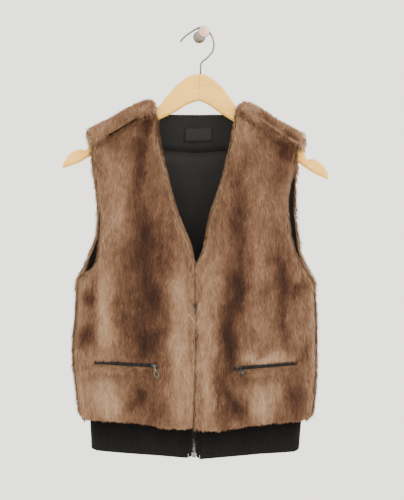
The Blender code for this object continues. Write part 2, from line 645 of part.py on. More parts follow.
def band_node(name, x_from, x_to, face, ribbed):
    places = arc_places(x_from, x_to, face, RIB_PITCH if ribbed else 3.1)
    count = len(places)
    gap = 0.18
    loops = []
    for level in ("top", "low"):
        outer = []
        for k, x in enumerate(places):
            hem = look_up(HEM, x if face < 0 else 0.5 * x + 0.5 * math.copysign(150, x))
            z = hem + RIB_TUCK if level == "top" else look_up(BAND_END, x)
            deep = RIB_DEEP if ribbed and k % 2 == 0 else 0.0
            outer.append(band_point(x, z, face, deep))
        steps = list(range(0, count, 4))
        if steps[-1] != count - 1:
            steps.append(count - 1)
        inner = []
        for k in steps:
            x = places[k]
            hem = look_up(HEM, x if face < 0 else 0.5 * x + 0.5 * math.copysign(150, x))
            z = hem + RIB_TUCK if level == "top" else look_up(BAND_END, x) + 0.6
            inner.append(band_point(x, z, face, RIB_WALL))
        for line in (outer, inner):
            way = line[1] - line[0]
            line[0] = line[0] + way / np.linalg.norm(way) * gap
            way = line[-2] - line[-1]
            line[-1] = line[-1] + way / np.linalg.norm(way) * gap
        loops.append((outer, inner))
    steps = list(range(0, count, 4))
    if steps[-1] != count - 1:
        steps.append(count - 1)
    points = [p for outer, inner in loops for p in outer + inner]
    size = count + len(steps)
    faces = []
    for k in range(count - 1):
        faces.append((k, k + 1, k + 1 + size, k + size))
    for m in range(len(steps) - 1):
        a, b = count + m, count + m + 1
        faces.append((b, a, a + size, b + size))
        run = list(range(steps[m], steps[m + 1] + 1))
        for low, flip in ((0, False), (size, True)):
            for k in run[:-1]:
                # The strip between the crests and the plain inside, one triangle to each crest side
                pivot = a if k < (run[0] + run[-1]) / 2 else b
                triangle = (low + k + 1, low + k, low + pivot)
                faces.append(tuple(reversed(triangle)) if flip else triangle)
            middle = next(k for k in run if k >= (run[0] + run[-1]) / 2)
            triangle = (low + middle, low + a, low + b)
            faces.append(tuple(reversed(triangle)) if flip else triangle)
    faces.append((0, size, size + count, count))
    faces.append((count - 1, size - 1, 2 * size - 1, size + count - 1))
    make(name, points, outward(points, faces), KNIT_LOOK)


RIGHT_SIDE, LEFT_SIDE = look_up(BAND_RINGS, -670, 1), look_up(BAND_RINGS, -670, 2)
band_node("rib_front_right", RIGHT_SIDE, ZIP_X - ZIP_HALF - PLACKET, -1, True)
band_node("placket_right", ZIP_X - ZIP_HALF - PLACKET, ZIP_X - ZIP_HALF, -1, False)
band_node("placket_left", ZIP_X + ZIP_HALF, ZIP_X + ZIP_HALF + PLACKET, -1, False)
band_node("rib_front_left", ZIP_X + ZIP_HALF + PLACKET, LEFT_SIDE, -1, True)
band_node("rib_back", RIGHT_SIDE, LEFT_SIDE, 1, True)


# Centre-front zip: two tapes and a chain that follow the front's inside, then the box
def zip_line(z):
    """x and y of the zip's middle at z, at the chain's outer face."""
    x = 0.5 * (look_up(EDGE_RIGHT, z) + look_up(EDGE_LEFT, z))
    if -472 < z < -430:
        x = -6.8 + (z + 472) / 42 * -1.2
    x = x + (ZIP_X - x) * smooth((-640 - z) / 25)
    y_fur = pelt(x, z, -1)[0][1] + 0.5
    y_band = band(x, min(z, -640), -1)[0][1] + 1.3
    return x, y_fur + (y_band - y_fur) * smooth((-612 - z) / 22)


CHAIN_Z = (-690, -660, -640, -632, -622, -610, -590, -560, -520, -480, -466, -450, -430, -400, -384)
TAPE_Z = CHAIN_Z[3:]


def strip(name, stations, low, high, deep, thick, look):
    """A straight-sided strip beside the zip's middle, from x offsets low to high."""
    loops = []
    for z in stations:
        x, y = zip_line(z)
        loops.append([
            (x + low, y + deep, z), (x + high, y + deep, z),
            (x + high, y + deep + thick, z), (x + low, y + deep + thick, z),
        ])
    return loft(name, loops, look)


strip("zip_chain", CHAIN_Z, -2.6, 2.6, 0.0, 2.2, STEEL_LOOK)
strip("zip_tape_right", TAPE_Z, -10.5, -2.9, 0.9, 0.9, BLACK_LOOK)
strip("zip_tape_left", TAPE_Z, 2.9, 10.5, 0.9, 0.9, BLACK_LOOK)
x, y = zip_line(-690)
x, y = x - 0.1, y - 0.6
loops = []
for z, grow in ((-699.5, 0.0), (-698.5, 1.0), (-691.3, 1.0), (-690.3, 0.4)):
    loops.append([
        (x - 2.0 - grow, y, z), (x + 2.0 + grow, y, z),
        (x + 2.0 + grow, y + 3.0, z), (x - 2.0 - grow, y + 3.0, z),
    ])
loft("zip_box", loops, GUNMETAL_LOOK)


# Sliders and pulls
def box_mesh(name, low, high, turn, at):
    """A helper box, turned about Y and moved."""
    corners = [(x, y, z) for x in (low[0], high[0]) for y in (low[1], high[1]) for z in (low[2], high[2])]
    faces = [(0, 1, 3, 2), (4, 6, 7, 5), (0, 4, 5, 1), (2, 3, 7, 6), (0, 2, 6, 4), (1, 5, 7, 3)]
    points = [placed(c, turn, at) for c in corners]
    return make(name, points, outward(points, faces), GUNMETAL_LOOK)


def placed(p, turn, at):
    c, s = math.cos(turn), math.sin(turn)
    return np.array([c * p[0] - s * p[2] + at[0], p[1] + at[1], s * p[0] + c * p[2] + at[2]])


def joined(name, pieces, operation="UNION", cutters=()):
    """The first piece with the others joined to it and the cutters taken from it."""
    body = pieces[0]
    body.name = name
    body.data.name = name
    for other, kind in [(p, "UNION") for p in pieces[1:]] + [(c, "DIFFERENCE") for c in cutters]:
        step = body.modifiers.new(kind.lower(), "BOOLEAN")
        step.operation = kind
        step.solver = "EXACT"
        step.object = other
        other.hide_render = True
        other.display_type = "WIRE"
    body.data.materials.clear()
    body.data.materials.append(material(name, *GUNMETAL_LOOK))
    return body


def rod(name, half, radius, turn, at, sides=12):
    loops = []
    for x in (-half, half):
        loops.append([
            placed((x, radius * math.cos(a), radius * math.sin(a)), turn, at)
            for a in np.linspace(0, 2 * math.pi, sides, endpoint=False)
        ])
    return loft(name, loops, GUNMETAL_LOOK)


def prism(name, outline, y_low, y_high, turn, at):
    loops = [[placed((x, y, z), turn, at) for x, z in outline] for y in (y_low, y_high)]
    return loft(name, loops, GUNMETAL_LOOK)


def oval(cx, cz, rx, rz, count=16):
    return [
        (cx + rx * math.cos(a), cz + rz * math.sin(a))
        for a in np.linspace(0, 2 * math.pi, count, endpoint=False)
    ]


ROD, EYE_IN, EYE_OUT = 0.75, 1.15, 1.85


def slider_and_pull(word, at, body_from, wide, high, turn_body, turn, stem, ring, hole):
    """A slider whose rod stands at the point at, and the pull that hangs from it."""
    ax, ay, az = at
    half = 2.6
    low = box_mesh(
        "slider_a_" + word, (-wide / 2, 0, -high / 2), (wide / 2, 3.2, high / 2), turn_body,
        (ax, body_from - 3.2, az),
    )
    posts = []
    for k, x in enumerate((-half - 1.1, half)):
        posts.append(box_mesh(
            "slider_post_%d_%s" % (k, word), (x, -0.9, -1.0), (x + 1.1, body_from - 2.6 - ay, 1.0),
            turn, at,
        ))
    bar = rod("slider_rod_" + word, half + 0.6, ROD, turn, at)
    joined(("zip_slider" if word == "front" else "pocket_slider_" + word), [low] + posts + [bar])
    barrel = rod("pull_eye_" + word, 2.1, EYE_OUT, turn, at, 16)
    plate = prism("pull_stem_" + word, stem, -0.6, 0.6, turn, at)
    end = prism("pull_ring_" + word, ring, -0.65, 0.65, turn, at)
    bore = rod("pull_bore_" + word, 4.0, EYE_IN, turn, at, 16)
    cut = prism("pull_hole_" + word, hole, -3.0, 3.0, turn, at)
    joined(("zip_pull" if word == "front" else "pocket_pull_" + word), [barrel, plate, end], cutters=[bore, cut])


def pocket(word, share):
    points, outs, thick = FRONT[word]
    low, high = POCKET_COLUMNS
    rows = []
    for across, lift in ((0.06, 0.4), (0.06, 1.3), (0.33, 2.3), (0.67, 2.3), (0.94, 1.3), (0.94, 0.4)):
        row = []
        for j in range(low, high + 1):
            a = points[POCKET_ROWS[0]][j] + outs[POCKET_ROWS[0]][j] * (3.2 + lift)
            b = points[POCKET_ROWS[1]][j] + outs[POCKET_ROWS[1]][j] * (3.2 + lift)
            row.append(a + (b - a) * across)
        for end, inner in ((0, 1), (-1, -2)):
            way = row[inner] - row[end]
            row[end] = row[end] + way / np.linalg.norm(way) * 0.4
        rows.append(row)
    loops = [[rows[k][j] for k in range(6)] for j in range(high - low + 1)]
    loft("pocket_zip_" + word, loops, BLACK_LOOK)
    # The slider stands at this share of the strip's length from its inner end.
    spot = loops[0][2] + (loops[1][2] - loops[0][2]) * share
    spot = 0.5 * (spot + loops[0][3] + (loops[1][3] - loops[0][3]) * share)
    return spot


spot = pocket("right", 0.20)
slider_and_pull(
    "right", (spot[0], spot[1] - 9.6, spot[2]), spot[1] - 0.5, 10.0, 7.0,
    math.radians(-3), math.radians(15),
    [(-1.3, -1.2), (1.3, -1.2), (1.5, -9.2), (-1.5, -9.2)],
    oval(0, -14.2, 4.5, 6.4), oval(0, -14.2, 2.9, 4.7),
)
spot = pocket("left", 0.37)
slider_and_pull(
    "left", (spot[0], spot[1] - 9.6, spot[2]), spot[1] - 0.5, 10.0, 7.0,
    math.radians(4), math.radians(36),
    [(-1.3, -1.2), (1.3, -1.2), (1.5, -6.0), (-1.5, -6.0)],
    [(-3.0, -4.6), (3.0, -4.6), (6.6, -11.0), (5.4, -13.6), (-5.4, -13.6), (-6.6, -11.0)],
    [(-1.6, -6.9), (1.6, -6.9), (4.4, -11.0), (3.8, -11.9), (-3.8, -11.9), (-4.4, -11.0)],
)
x, y = zip_line(-446.5)
slider_and_pull(
    "front", (x, y - 6.6, -446.5), y - 0.4, 5.2, 7.0, 0.0, 0.0,
    [(-1.0, -1.2), (1.0, -1.2), (1.3, -6.5), (-1.3, -6.5)],
    [(-1.3, -6.0), (1.3, -6.0), (1.8, -8.0), (1.8, -15.5), (1.2, -16.6), (-1.2, -16.6), (-1.8, -15.5), (-1.8, -8.0)],
    oval(0, -13.4, 0.9, 1.6, 8),
)


# Hanger and hook
def tilted(x, y, z):
    c, s = math.cos(TILT), math.sin(TILT)
    return (x * c + z * s + HANGER_X, y, -x * s + z * c)


for side, word in ((-1, "right"), (1, "left")):
    loops = []
    for x, top, low, half in ARM:
        y = HANGER_Y - HANGER_LEAN * x
        cut = min(3.6, half * 0.6, (top - low) * 0.3)
        shape = [
            (-half, low + cut), (-half, top - cut), (-half + cut, top - 0.3 * 0), (half - cut, top),
            (half, top - cut), (half, low + cut), (half - cut, low), (-half + cut, low),
        ]
        loops.append([tilted(side * x, y + a, b) for a, b in shape])
    loft("hanger_arm_" + word, loops, ((0.80, 0.58, 0.34), 0.45))

loops = []
path = [np.array([x, HANGER_Y, z]) for x, z in HOOK]
for k, p in enumerate(path):
    way = path[min(k + 1, len(path) - 1)] - path[max(k - 1, 0)]
    way = way / np.linalg.norm(way)
    across = np.array([0.0, 1.0, 0.0])
    up = np.cross(way, across)
    loops.append([
        p + WIRE * (math.cos(a) * across + math.sin(a) * up)
        for a in np.linspace(0, 2 * math.pi, 10, endpoint=False)
    ])
loft("hanger_hook", loops, STEEL_LOOK)

# Wall peg: a flat flange, a shank that leans a little, and a wider head with a plain face
start = np.array([PEG_AT[0], -4.0, PEG_AT[1]])
axis = np.array(PEG_END) - start
length = np.linalg.norm(axis)
axis = axis / length
flat = (np.array([1.0, 0, 0]), np.array([0, 0, 1.0]))
side_way = np.cross(axis, [0, 0, 1.0])
side_way = -side_way / np.linalg.norm(side_way)
if side_way[0] < 0:
    side_way = -side_way
turned = (side_way, np.cross(side_way, axis) * (1 if np.cross(side_way, axis)[2] > 0 else -1))


def peg_ring(middle, radius, frame, count=24):
    a_way, b_way = frame
    return [
        middle + radius * (math.cos(a) * a_way + math.sin(a) * b_way)
        for a in np.linspace(0, 2 * math.pi, count, endpoint=False)
    ]


loops = [
    peg_ring(np.array([PEG_AT[0], 0.0, PEG_AT[1]]), 10.5, flat),
    peg_ring(np.array([PEG_AT[0], -3.2, PEG_AT[1]]), 10.5, flat),
    peg_ring(np.array([PEG_AT[0], -4.0, PEG_AT[1]]), 9.6, flat),
    peg_ring(start + axis * 1.5, 7.2, turned),
    peg_ring(start + axis * 34.2, 7.2, turned),
    peg_ring(start + axis * 35.0, 9.4, turned),
    peg_ring(start + axis * (length - 1.6), 9.6, turned),
    peg_ring(start + axis * (length - 1.0), 9.2, turned),
]
loft("wall_peg", loops, ((0.28, 0.24, 0.21), 0.4, 0.6))
loops = [
    peg_ring(start + axis * (length - 0.7), 8.9, turned),
    peg_ring(start + axis * (length - 0.1), 8.9, turned),
    peg_ring(start + axis * length, 8.3, turned),
]
loft("peg_face", loops, ((0.78, 0.52, 0.42), 0.25, 1.0))
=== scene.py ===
import math

import bmesh
import bpy
import numpy as np
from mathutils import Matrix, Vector
from mathutils.bvhtree import BVHTree
from mathutils.kdtree import KDTree


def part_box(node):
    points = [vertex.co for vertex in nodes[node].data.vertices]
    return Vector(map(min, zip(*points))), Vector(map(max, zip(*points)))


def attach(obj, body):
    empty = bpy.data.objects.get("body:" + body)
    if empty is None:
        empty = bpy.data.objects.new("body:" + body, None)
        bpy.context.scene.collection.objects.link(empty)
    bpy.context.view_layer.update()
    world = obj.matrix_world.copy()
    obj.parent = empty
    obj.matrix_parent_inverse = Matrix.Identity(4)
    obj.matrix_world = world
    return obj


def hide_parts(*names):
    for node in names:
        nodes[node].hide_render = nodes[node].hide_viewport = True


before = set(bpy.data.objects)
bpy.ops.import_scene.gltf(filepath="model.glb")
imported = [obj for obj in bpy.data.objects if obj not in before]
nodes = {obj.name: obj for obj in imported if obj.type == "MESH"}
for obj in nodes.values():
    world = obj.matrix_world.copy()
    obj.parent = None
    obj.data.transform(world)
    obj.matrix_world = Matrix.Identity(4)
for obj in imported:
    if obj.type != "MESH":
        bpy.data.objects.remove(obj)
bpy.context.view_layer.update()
scene = bpy.context.scene
mm = 0.001
print("frame loaded")

# Camera, at the angle of the photo
view = {"place": (0.0047, -2.4, -0.3625), "tilt": 90, "lens": 101.35, "sensor": 36, "reach": 60}
camera = bpy.data.objects.new("camera", bpy.data.cameras.new("camera"))
scene.collection.objects.link(camera)
camera.location = view["place"]
camera.rotation_euler = (math.radians(view["tilt"]), 0, 0)
camera.data.lens = view["lens"]
camera.data.sensor_width = view["sensor"]
camera.data.clip_end = view["reach"]
scene.camera = camera

# Soft daylight from the right and above, in a pale room
room = {
    "world": (1.0, 0.985, 0.895), "strength": 2.5,
    "floorZ": -1.95, "floorSize": 9.4, "floorColour": (0.84, 0.82, 0.78),
}
# Place, what it points at, size, power, colour
lights = {
    "window": ((2.3, -2.0, 1.5), (0, 0, -0.35), (1.5, 1.5), 48, (1.0, 0.985, 0.955)),
    "fill": ((-2.4, -2.6, 0.4), (0, 0, -0.4), (2.0, 2.0), 4, (0.97, 0.985, 1.0)),
}
world = bpy.data.worlds.new("room")
world.use_nodes = True
world.node_tree.nodes["Background"].inputs["Color"].default_value = (*room["world"], 1)
world.node_tree.nodes["Background"].inputs["Strength"].default_value = room["strength"]
scene.world = world


def addLight(name, place, target, size, power, colour):
    data = bpy.data.lights.new(name, "AREA")
    data.shape = "RECTANGLE"
    data.size, data.size_y = size
    data.energy = power
    data.color = colour
    light = bpy.data.objects.new(name, data)
    light.location = place
    light.rotation_euler = (Vector(target) - Vector(place)).to_track_quat("-Z", "Y").to_euler()
    scene.collection.objects.link(light)


for name, values in lights.items():
    addLight(name, *values)


class Value:
    # A shader socket that can be added to, multiplied and so on
    def __init__(self, look, socket):
        self.look, self.socket = look, socket

    def math(self, kind, *others):
        node = self.look.tree.nodes.new("ShaderNodeMath")
        node.operation = kind
        for place, item in enumerate((self, *others)):
            self.look.put(item, node.inputs[place])
        return Value(self.look, node.outputs[0])

    def __add__(self, other):
        return self.math("ADD", other)

    def __sub__(self, other):
        return self.math("SUBTRACT", other)

    def __mul__(self, other):
        return self.math("MULTIPLY", other)


class Look:
    # A material with one method for any node
    def __init__(self, name, **constants):
        self.material = bpy.data.materials.new(name)
        self.material.use_nodes = True
        self.tree = self.material.node_tree
        self.shader = self.tree.nodes["Principled BSDF"]
        for label, value in constants.items():
            self.shader.inputs[label.replace("_", " ")].default_value = value

    def put(self, item, socket):
        if isinstance(item, Value):
            self.tree.links.new(item.socket, socket)
        else:
            socket.default_value = item

    def node(self, kind, inputs, out=0, **settings):
        node = self.tree.nodes.new(kind)
        for label, value in settings.items():
            setattr(node, label, value)
        for label, item in inputs.items():
            self.put(item, node.inputs[label])
        return Value(self, node.outputs[out])

    def place(self, scale=(1, 1, 1), turn=(0, 0, 0)):
        spot = self.node("ShaderNodeTexCoord", {}, "Object")
        return self.node("ShaderNodeMapping", {"Vector": spot, "Scale": scale, "Rotation": turn})

    def noise(self, where, scale, detail=2.0, rough=0.5):
        return self.node(
            "ShaderNodeTexNoise",
            {"Vector": where, "Scale": scale, "Detail": detail, "Roughness": rough},
        )

    def attribute(self, name):
        return self.node("ShaderNodeAttribute", {}, "Fac", attribute_name=name)

    def ramp(self, value, *stops):
        node = self.tree.nodes.new("ShaderNodeValToRGB")
        while len(node.color_ramp.elements) < len(stops):
            node.color_ramp.elements.new(0.5)
        for element, (place, colour) in zip(node.color_ramp.elements, stops):
            element.position = place
            element.color = (*colour, 1)
        self.put(value, node.inputs[0])
        return Value(self, node.outputs[0])

    def bump(self, height, strength, distance=0.001):
        bumped = self.node(
            "ShaderNodeBump", {"Height": height, "Strength": strength, "Distance": distance}
        )
        self.put(bumped, self.shader.inputs["Normal"])

    def colour(self, value):
        self.put(value, self.shader.inputs["Base Color"])

    def rough(self, value):
        self.put(value, self.shader.inputs["Roughness"])


# How much each noise shifts the tone of a strand, and the colours that the tone stands for
furTones = {
    "streaks": 0.34, "cloud": 0.38, "blotch": 0.2, "odd": 0.2,
    "colours": (
        (0.0, (0.028, 0.0108, 0.0060)), (0.22, (0.071, 0.0285, 0.0150)),
        (0.45, (0.166, 0.080, 0.044)), (0.68, (0.312, 0.180, 0.107)), (1.0, (0.54, 0.352, 0.225)),
    ),
    # Darker towards the roots: the fur's own darker roots, and painted shade down among the strands
    "rootShade": (
        (0.0, (0.78, 0.76, 0.74)), (0.5, (0.92, 0.91, 0.90)), (1.0, (1, 1, 1)),
    ),
}


def furLook():
    look = Look("fur strands", Roughness=0.66, Specular_IOR_Level=0.16)
    tone = look.attribute("tone")
    along = look.attribute("along")
    odd = look.attribute("odd")
    streaks = look.noise(look.place((1, 1, 0.16)), 120, 3.0, 0.6)
    cloud = look.noise(look.place((1, 1, 0.6)), 34, 3.0, 0.6)
    blotch = look.noise(look.place((1, 1, 0.75)), 95, 2.0, 0.5)
    value = tone
    shifts = (("streaks", streaks), ("cloud", cloud), ("blotch", blotch), ("odd", odd))
    for label, noise in shifts:
        value = value + (noise - 0.5) * furTones[label]
    base = look.ramp(value, *furTones["colours"])
    # Painted shade towards the roots of each strand, with the roots' own darker colour
    depth = look.ramp(along, *furTones["rootShade"])
    shaded = look.node(
        "ShaderNodeMix", {0: 1.0, 6: base, 7: depth}, 2, data_type="RGBA", blend_type="MULTIPLY"
    )
    look.colour(shaded)
    return look.material


def peltLook():
    look = Look("fur ground", Roughness=0.9, Specular_IOR_Level=0.1)
    cloud = look.noise(look.place((1, 1, 0.25)), 60, 3.0, 0.6)
    look.colour(look.ramp(cloud, (0.3, (0.130, 0.070, 0.040)), (0.7, (0.230, 0.130, 0.075))))
    look.bump(look.noise(look.place((1, 1, 0.2)), 900, 2.0), 0.5)
    return look.material


def clothLook(name, dark, pale, rough, scale, strength):
    look = Look(name, Roughness=rough, Specular_IOR_Level=0.2, Sheen_Weight=0.05, Sheen_Roughness=0.4)
    spot = look.place()
    broad = look.noise(spot, 14, 3.0, 0.55)
    look.colour(look.ramp(broad, (0.3, dark), (0.7, pale)))
    across = look.node(
        "ShaderNodeTexWave", {"Vector": spot, "Scale": scale, "Distortion": 0.4}, "Fac",
        wave_type="BANDS", bands_direction="X",
    )
    down = look.node(
        "ShaderNodeTexWave", {"Vector": spot, "Scale": scale, "Distortion": 0.4}, "Fac",
        wave_type="BANDS", bands_direction="Z",
    )
    look.bump(across + down + look.noise(spot, 260, 2.0) * 0.8, strength, 0.0004)
    look.rough(look.noise(spot, 45, 3.0) * 0.16 + (rough - 0.08))
    return look.material


def knitLook():
    look = Look("ribbed knit", Specular_IOR_Level=0.10, Sheen_Weight=0.04, Sheen_Roughness=0.5)
    spot = look.place()
    fuzz = look.noise(spot, 700, 2.0, 0.6)
    broad = look.noise(look.place((1, 1, 0.3)), 30, 3.0)
    look.colour(look.ramp(
        broad + (fuzz - 0.5) * 0.35,
        (0.25, (0.0018, 0.0014, 0.0016)), (0.8, (0.0050, 0.0041, 0.0045)),
    ))
    stitch = look.node(
        "ShaderNodeTexWave", {"Vector": spot, "Scale": 260, "Distortion": 1.4, "Detail": 1.0}, "Fac",
        wave_type="BANDS", bands_direction="Z",
    )
    column = look.node(
        "ShaderNodeTexWave", {"Vector": spot, "Scale": 130, "Distortion": 0.8, "Detail": 1.0}, "Fac",
        wave_type="BANDS", bands_direction="X",
    )
    look.bump(stitch * 0.7 + column * 0.5 + fuzz * 0.9, 0.75, 0.0006)
    look.rough(fuzz * 0.12 + 0.78)
    return look.material


def metalLook(name, dark, pale, rough, brushed=(1, 1, 1), scale=300):
    look = Look(name, Metallic=1.0)
    # The noise paints the colour between dark and pale: wear, and on the dark gunmetal painted glints too
    wearAndGlints = look.noise(look.place(brushed), scale, 3.0, 0.6)
    look.colour(look.ramp(wearAndGlints, (0.3, dark), (0.7, pale)))
    look.rough(wearAndGlints * 0.18 + (rough - 0.09))
    look.bump(wearAndGlints, 0.15, 0.0002)
    return look.material


def teethLook():
    # Painted glints: the teeth are painted lighter towards the hem, and dark above it
    look = Look("teeth", Metallic=1.0)
    spot = look.place()
    height = look.node("ShaderNodeSeparateXYZ", {"Vector": spot}, "Z")
    low = (height * -1.0 - 0.674) * 22.0
    glint = look.noise(spot, 420, 2.0, 0.6)
    value = low.math("MINIMUM", 0.55).math("MAXIMUM", 0.0) + (glint - 0.5) * 1.1 + 0.12
    look.colour(look.ramp(
        value, (0.12, (0.012, 0.012, 0.012)), (0.45, (0.12, 0.12, 0.12)), (0.85, (0.50, 0.50, 0.50)),
    ))
    look.rough(glint * 0.2 + 0.2)
    look.bump(glint, 0.3, 0.0003)
    return look.material


def woodLook(name, lean):
    look = Look(name, Specular_IOR_Level=0.45, Coat_Weight=0.25, Coat_Roughness=0.22)
    along = look.place((0.9, 14, 14), (0, lean, 0))
    grain = look.noise(along, 22, 5.0, 0.6)
    fine = look.noise(look.place((1.2, 40, 60), (0, lean, 0)), 30, 3.0, 0.6)
    broad = look.noise(look.place((0.5, 3, 4), (0, lean, 0)), 9, 2.0, 0.5)
    value = grain * 0.5 + fine * 0.2 + broad * 0.3
    look.colour(look.ramp(
        value, (0.34, (0.82, 0.38, 0.045)), (0.5, (0.96, 0.53, 0.08)), (0.66, (1.0, 0.62, 0.13)),
    ))
    look.rough(fine * 0.16 + 0.30)
    look.bump(fine + grain * 0.5, 0.08, 0.0003)
    return look.material


furMaterial = furLook()
peltMaterial = peltLook()
liningMaterial = clothLook(
    "lining", (0.0070, 0.0058, 0.0060), (0.0108, 0.0090, 0.0092), 0.62, 420, 0.16
)
facingMaterial = clothLook(
    "facing", (0.0052, 0.0046, 0.0049), (0.0082, 0.0073, 0.0076), 0.66, 380, 0.18
)
labelMaterial = clothLook(
    "label", (0.0090, 0.0088, 0.0090), (0.0125, 0.0122, 0.0125), 0.48, 620, 0.35
)
tapeMaterial = clothLook("tape", (0.010, 0.010, 0.011), (0.016, 0.016, 0.017), 0.7, 520, 0.6)
threadMaterial = clothLook("thread", (0.016, 0.016, 0.017), (0.028, 0.028, 0.030), 0.45, 900, 0.3)
knitMaterial = knitLook()
steelMaterial = metalLook("steel", (0.10, 0.10, 0.098), (0.26, 0.26, 0.25), 0.30, (1, 1, 6), 160)
boxMaterial = metalLook("zip box", (0.10, 0.10, 0.10), (0.24, 0.24, 0.235), 0.34)
teethMaterial = teethLook()
gunmetalMaterial = metalLook("gunmetal", (0.008, 0.008, 0.009), (0.060, 0.060, 0.064), 0.22)
# Painted light: a paler copy of the gunmetal, so that the right pocket's pull looks lit
litPullMaterial = metalLook("lit pull metal", (0.045, 0.047, 0.038), (0.17, 0.175, 0.145), 0.30)
pegMaterial = metalLook("peg", (0.16, 0.135, 0.115), (0.25, 0.215, 0.185), 0.42, (1, 1, 4), 120)
copperMaterial = metalLook("copper", (0.66, 0.38, 0.28), (0.80, 0.52, 0.41), 0.32, (1, 1, 5), 220)
woodRight = woodLook("wood right", math.radians(-31))
woodLeft = woodLook("wood left", math.radians(31))
print("materials made")


def linked(name, mesh):
    thing = bpy.data.objects.new(name, mesh)
    scene.collection.objects.link(thing)
    return thing


def wholeMesh(name):
    # A copy of a CAD node whose triangles are joined
    made = bmesh.new()
    made.from_mesh(nodes[name].data)
    bmesh.ops.remove_doubles(made, verts=made.verts, dist=1e-5)
    return made


def meshFrom(name, made, smooth=True):
    mesh = bpy.data.meshes.new(name)
    made.to_mesh(mesh)
    made.free()
    mesh.shade_smooth() if smooth else mesh.shade_flat()
    return mesh


def finished(thing, material, body="vest", standsFor=()):
    thing.data.materials.clear()
    thing.data.materials.append(material)
    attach(thing, body)
    if standsFor:
        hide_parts(*standsFor)
    return thing


def baked(thing, name):
    # The evaluated mesh, so that no modifier is left
    bpy.context.view_layer.update()
    graph = bpy.context.evaluated_depsgraph_get()
    mesh = bpy.data.meshes.new_from_object(thing.evaluated_get(graph), depsgraph=graph)
    bpy.data.objects.remove(thing)
    return linked(name, mesh)


def repeatTree(name, scattered):
    # Instances on points, or scattered over faces, each turned to the attributes out and comb
    tree = bpy.data.node_groups.new(name, "GeometryNodeTree")
    labels = {}

    def socket(label, kind):
        labels[label] = tree.interface.new_socket(label, in_out="INPUT", socket_type=kind).identifier

    def add(kind, inputs, **settings):
        node = tree.nodes.new(kind)
        for label, value in settings.items():
            setattr(node, label, value)
        for label, item in inputs.items():
            if isinstance(item, bpy.types.NodeSocket):
                tree.links.new(item, node.inputs[label])
            else:
                node.inputs[label].default_value = item
        return node

    tree.interface.new_socket("Geometry", in_out="INPUT", socket_type="NodeSocketGeometry")
    socket("Piece", "NodeSocketObject")
    socket("Density", "NodeSocketFloat")
    socket("Seed", "NodeSocketInt")
    socket("Smallest", "NodeSocketFloat")
    socket("Largest", "NodeSocketFloat")
    socket("Turn", "NodeSocketVector")
    socket("Material", "NodeSocketMaterial")
    tree.interface.new_socket("Geometry", in_out="OUTPUT", socket_type="NodeSocketGeometry")
    given = tree.nodes.new("NodeGroupInput").outputs
    points = given["Geometry"]
    if scattered:
        points = add("GeometryNodeDistributePointsOnFaces", {
            "Mesh": given["Geometry"], "Density": given["Density"], "Seed": given["Seed"],
        }).outputs["Points"]
    out = add("GeometryNodeInputNamedAttribute", {"Name": "out"}, data_type="FLOAT_VECTOR")
    comb = add("GeometryNodeInputNamedAttribute", {"Name": "comb"}, data_type="FLOAT_VECTOR")
    size = add("GeometryNodeInputNamedAttribute", {"Name": "size"}, data_type="FLOAT")
    raised = add("FunctionNodeAlignRotationToVector", {"Vector": out.outputs[0]}, axis="Z")
    combed = add("FunctionNodeAlignRotationToVector", {
        "Rotation": raised.outputs[0], "Vector": comb.outputs[0],
    }, axis="Y", pivot_axis="Z")
    away = add("ShaderNodeVectorMath", {0: given["Turn"], 1: (-1, -1, -1)}, operation="MULTIPLY")
    loose = add("FunctionNodeRandomValue", {
        "Min": away.outputs[0], "Max": given["Turn"], "Seed": given["Seed"],
    }, data_type="FLOAT_VECTOR")
    turned = add("FunctionNodeRotateRotation", {
        "Rotation": combed.outputs[0],
        "Rotate By": add("FunctionNodeEulerToRotation", {0: loose.outputs[0]}).outputs[0],
    }, rotation_space="LOCAL")
    scale = add("FunctionNodeRandomValue", {"Seed": 7}, data_type="FLOAT")
    tree.links.new(given["Smallest"], scale.inputs[2])
    tree.links.new(given["Largest"], scale.inputs[3])
    grown = add("ShaderNodeMath", {0: scale.outputs[1], 1: size.outputs[0]}, operation="MULTIPLY")
    piece = add("GeometryNodeObjectInfo", {"Object": given["Piece"]})
    instances = add("GeometryNodeInstanceOnPoints", {
        "Points": points, "Instance": piece.outputs["Geometry"],
        "Rotation": turned.outputs[0], "Scale": grown.outputs[0],
    })
    odd = add("FunctionNodeRandomValue", {"Seed": 11}, data_type="FLOAT")
    stored = add("GeometryNodeStoreNamedAttribute", {
        "Geometry": instances.outputs[0], "Name": "odd", "Value": odd.outputs[1],
    }, data_type="FLOAT", domain="INSTANCE")
    real = add("GeometryNodeRealizeInstances", {"Geometry": stored.outputs[0]})
    coloured = add("GeometryNodeSetMaterial", {
        "Geometry": real.outputs[0], "Material": given["Material"],
    })
    end = tree.nodes.new("NodeGroupOutput")
    tree.links.new(coloured.outputs[0], end.inputs[0])
    return tree, labels


scatterTree = repeatTree("scatter", True)
placeTree = repeatTree("place", False)


def repeated(name, base, treeAndLabels, **values):
    tree, labels = treeAndLabels
    modifier = base.modifiers.new("repeat", "NODES")
    modifier.node_group = tree
    for label, value in values.items():
        modifier[labels[label]] = value
    return baked(base, name)


def setAttribute(mesh, name, values):
    kind = "FLOAT" if np.ndim(values) == 1 else "FLOAT_VECTOR"
    attribute = mesh.attributes.new(name, kind, "POINT")
    attribute.data.foreach_set(
        "value" if kind == "FLOAT" else "vector", np.asarray(values, np.float32).ravel()
    )


def unit(vectors):
    return vectors / np.maximum(np.linalg.norm(vectors, axis=-1, keepdims=True), 1e-9)


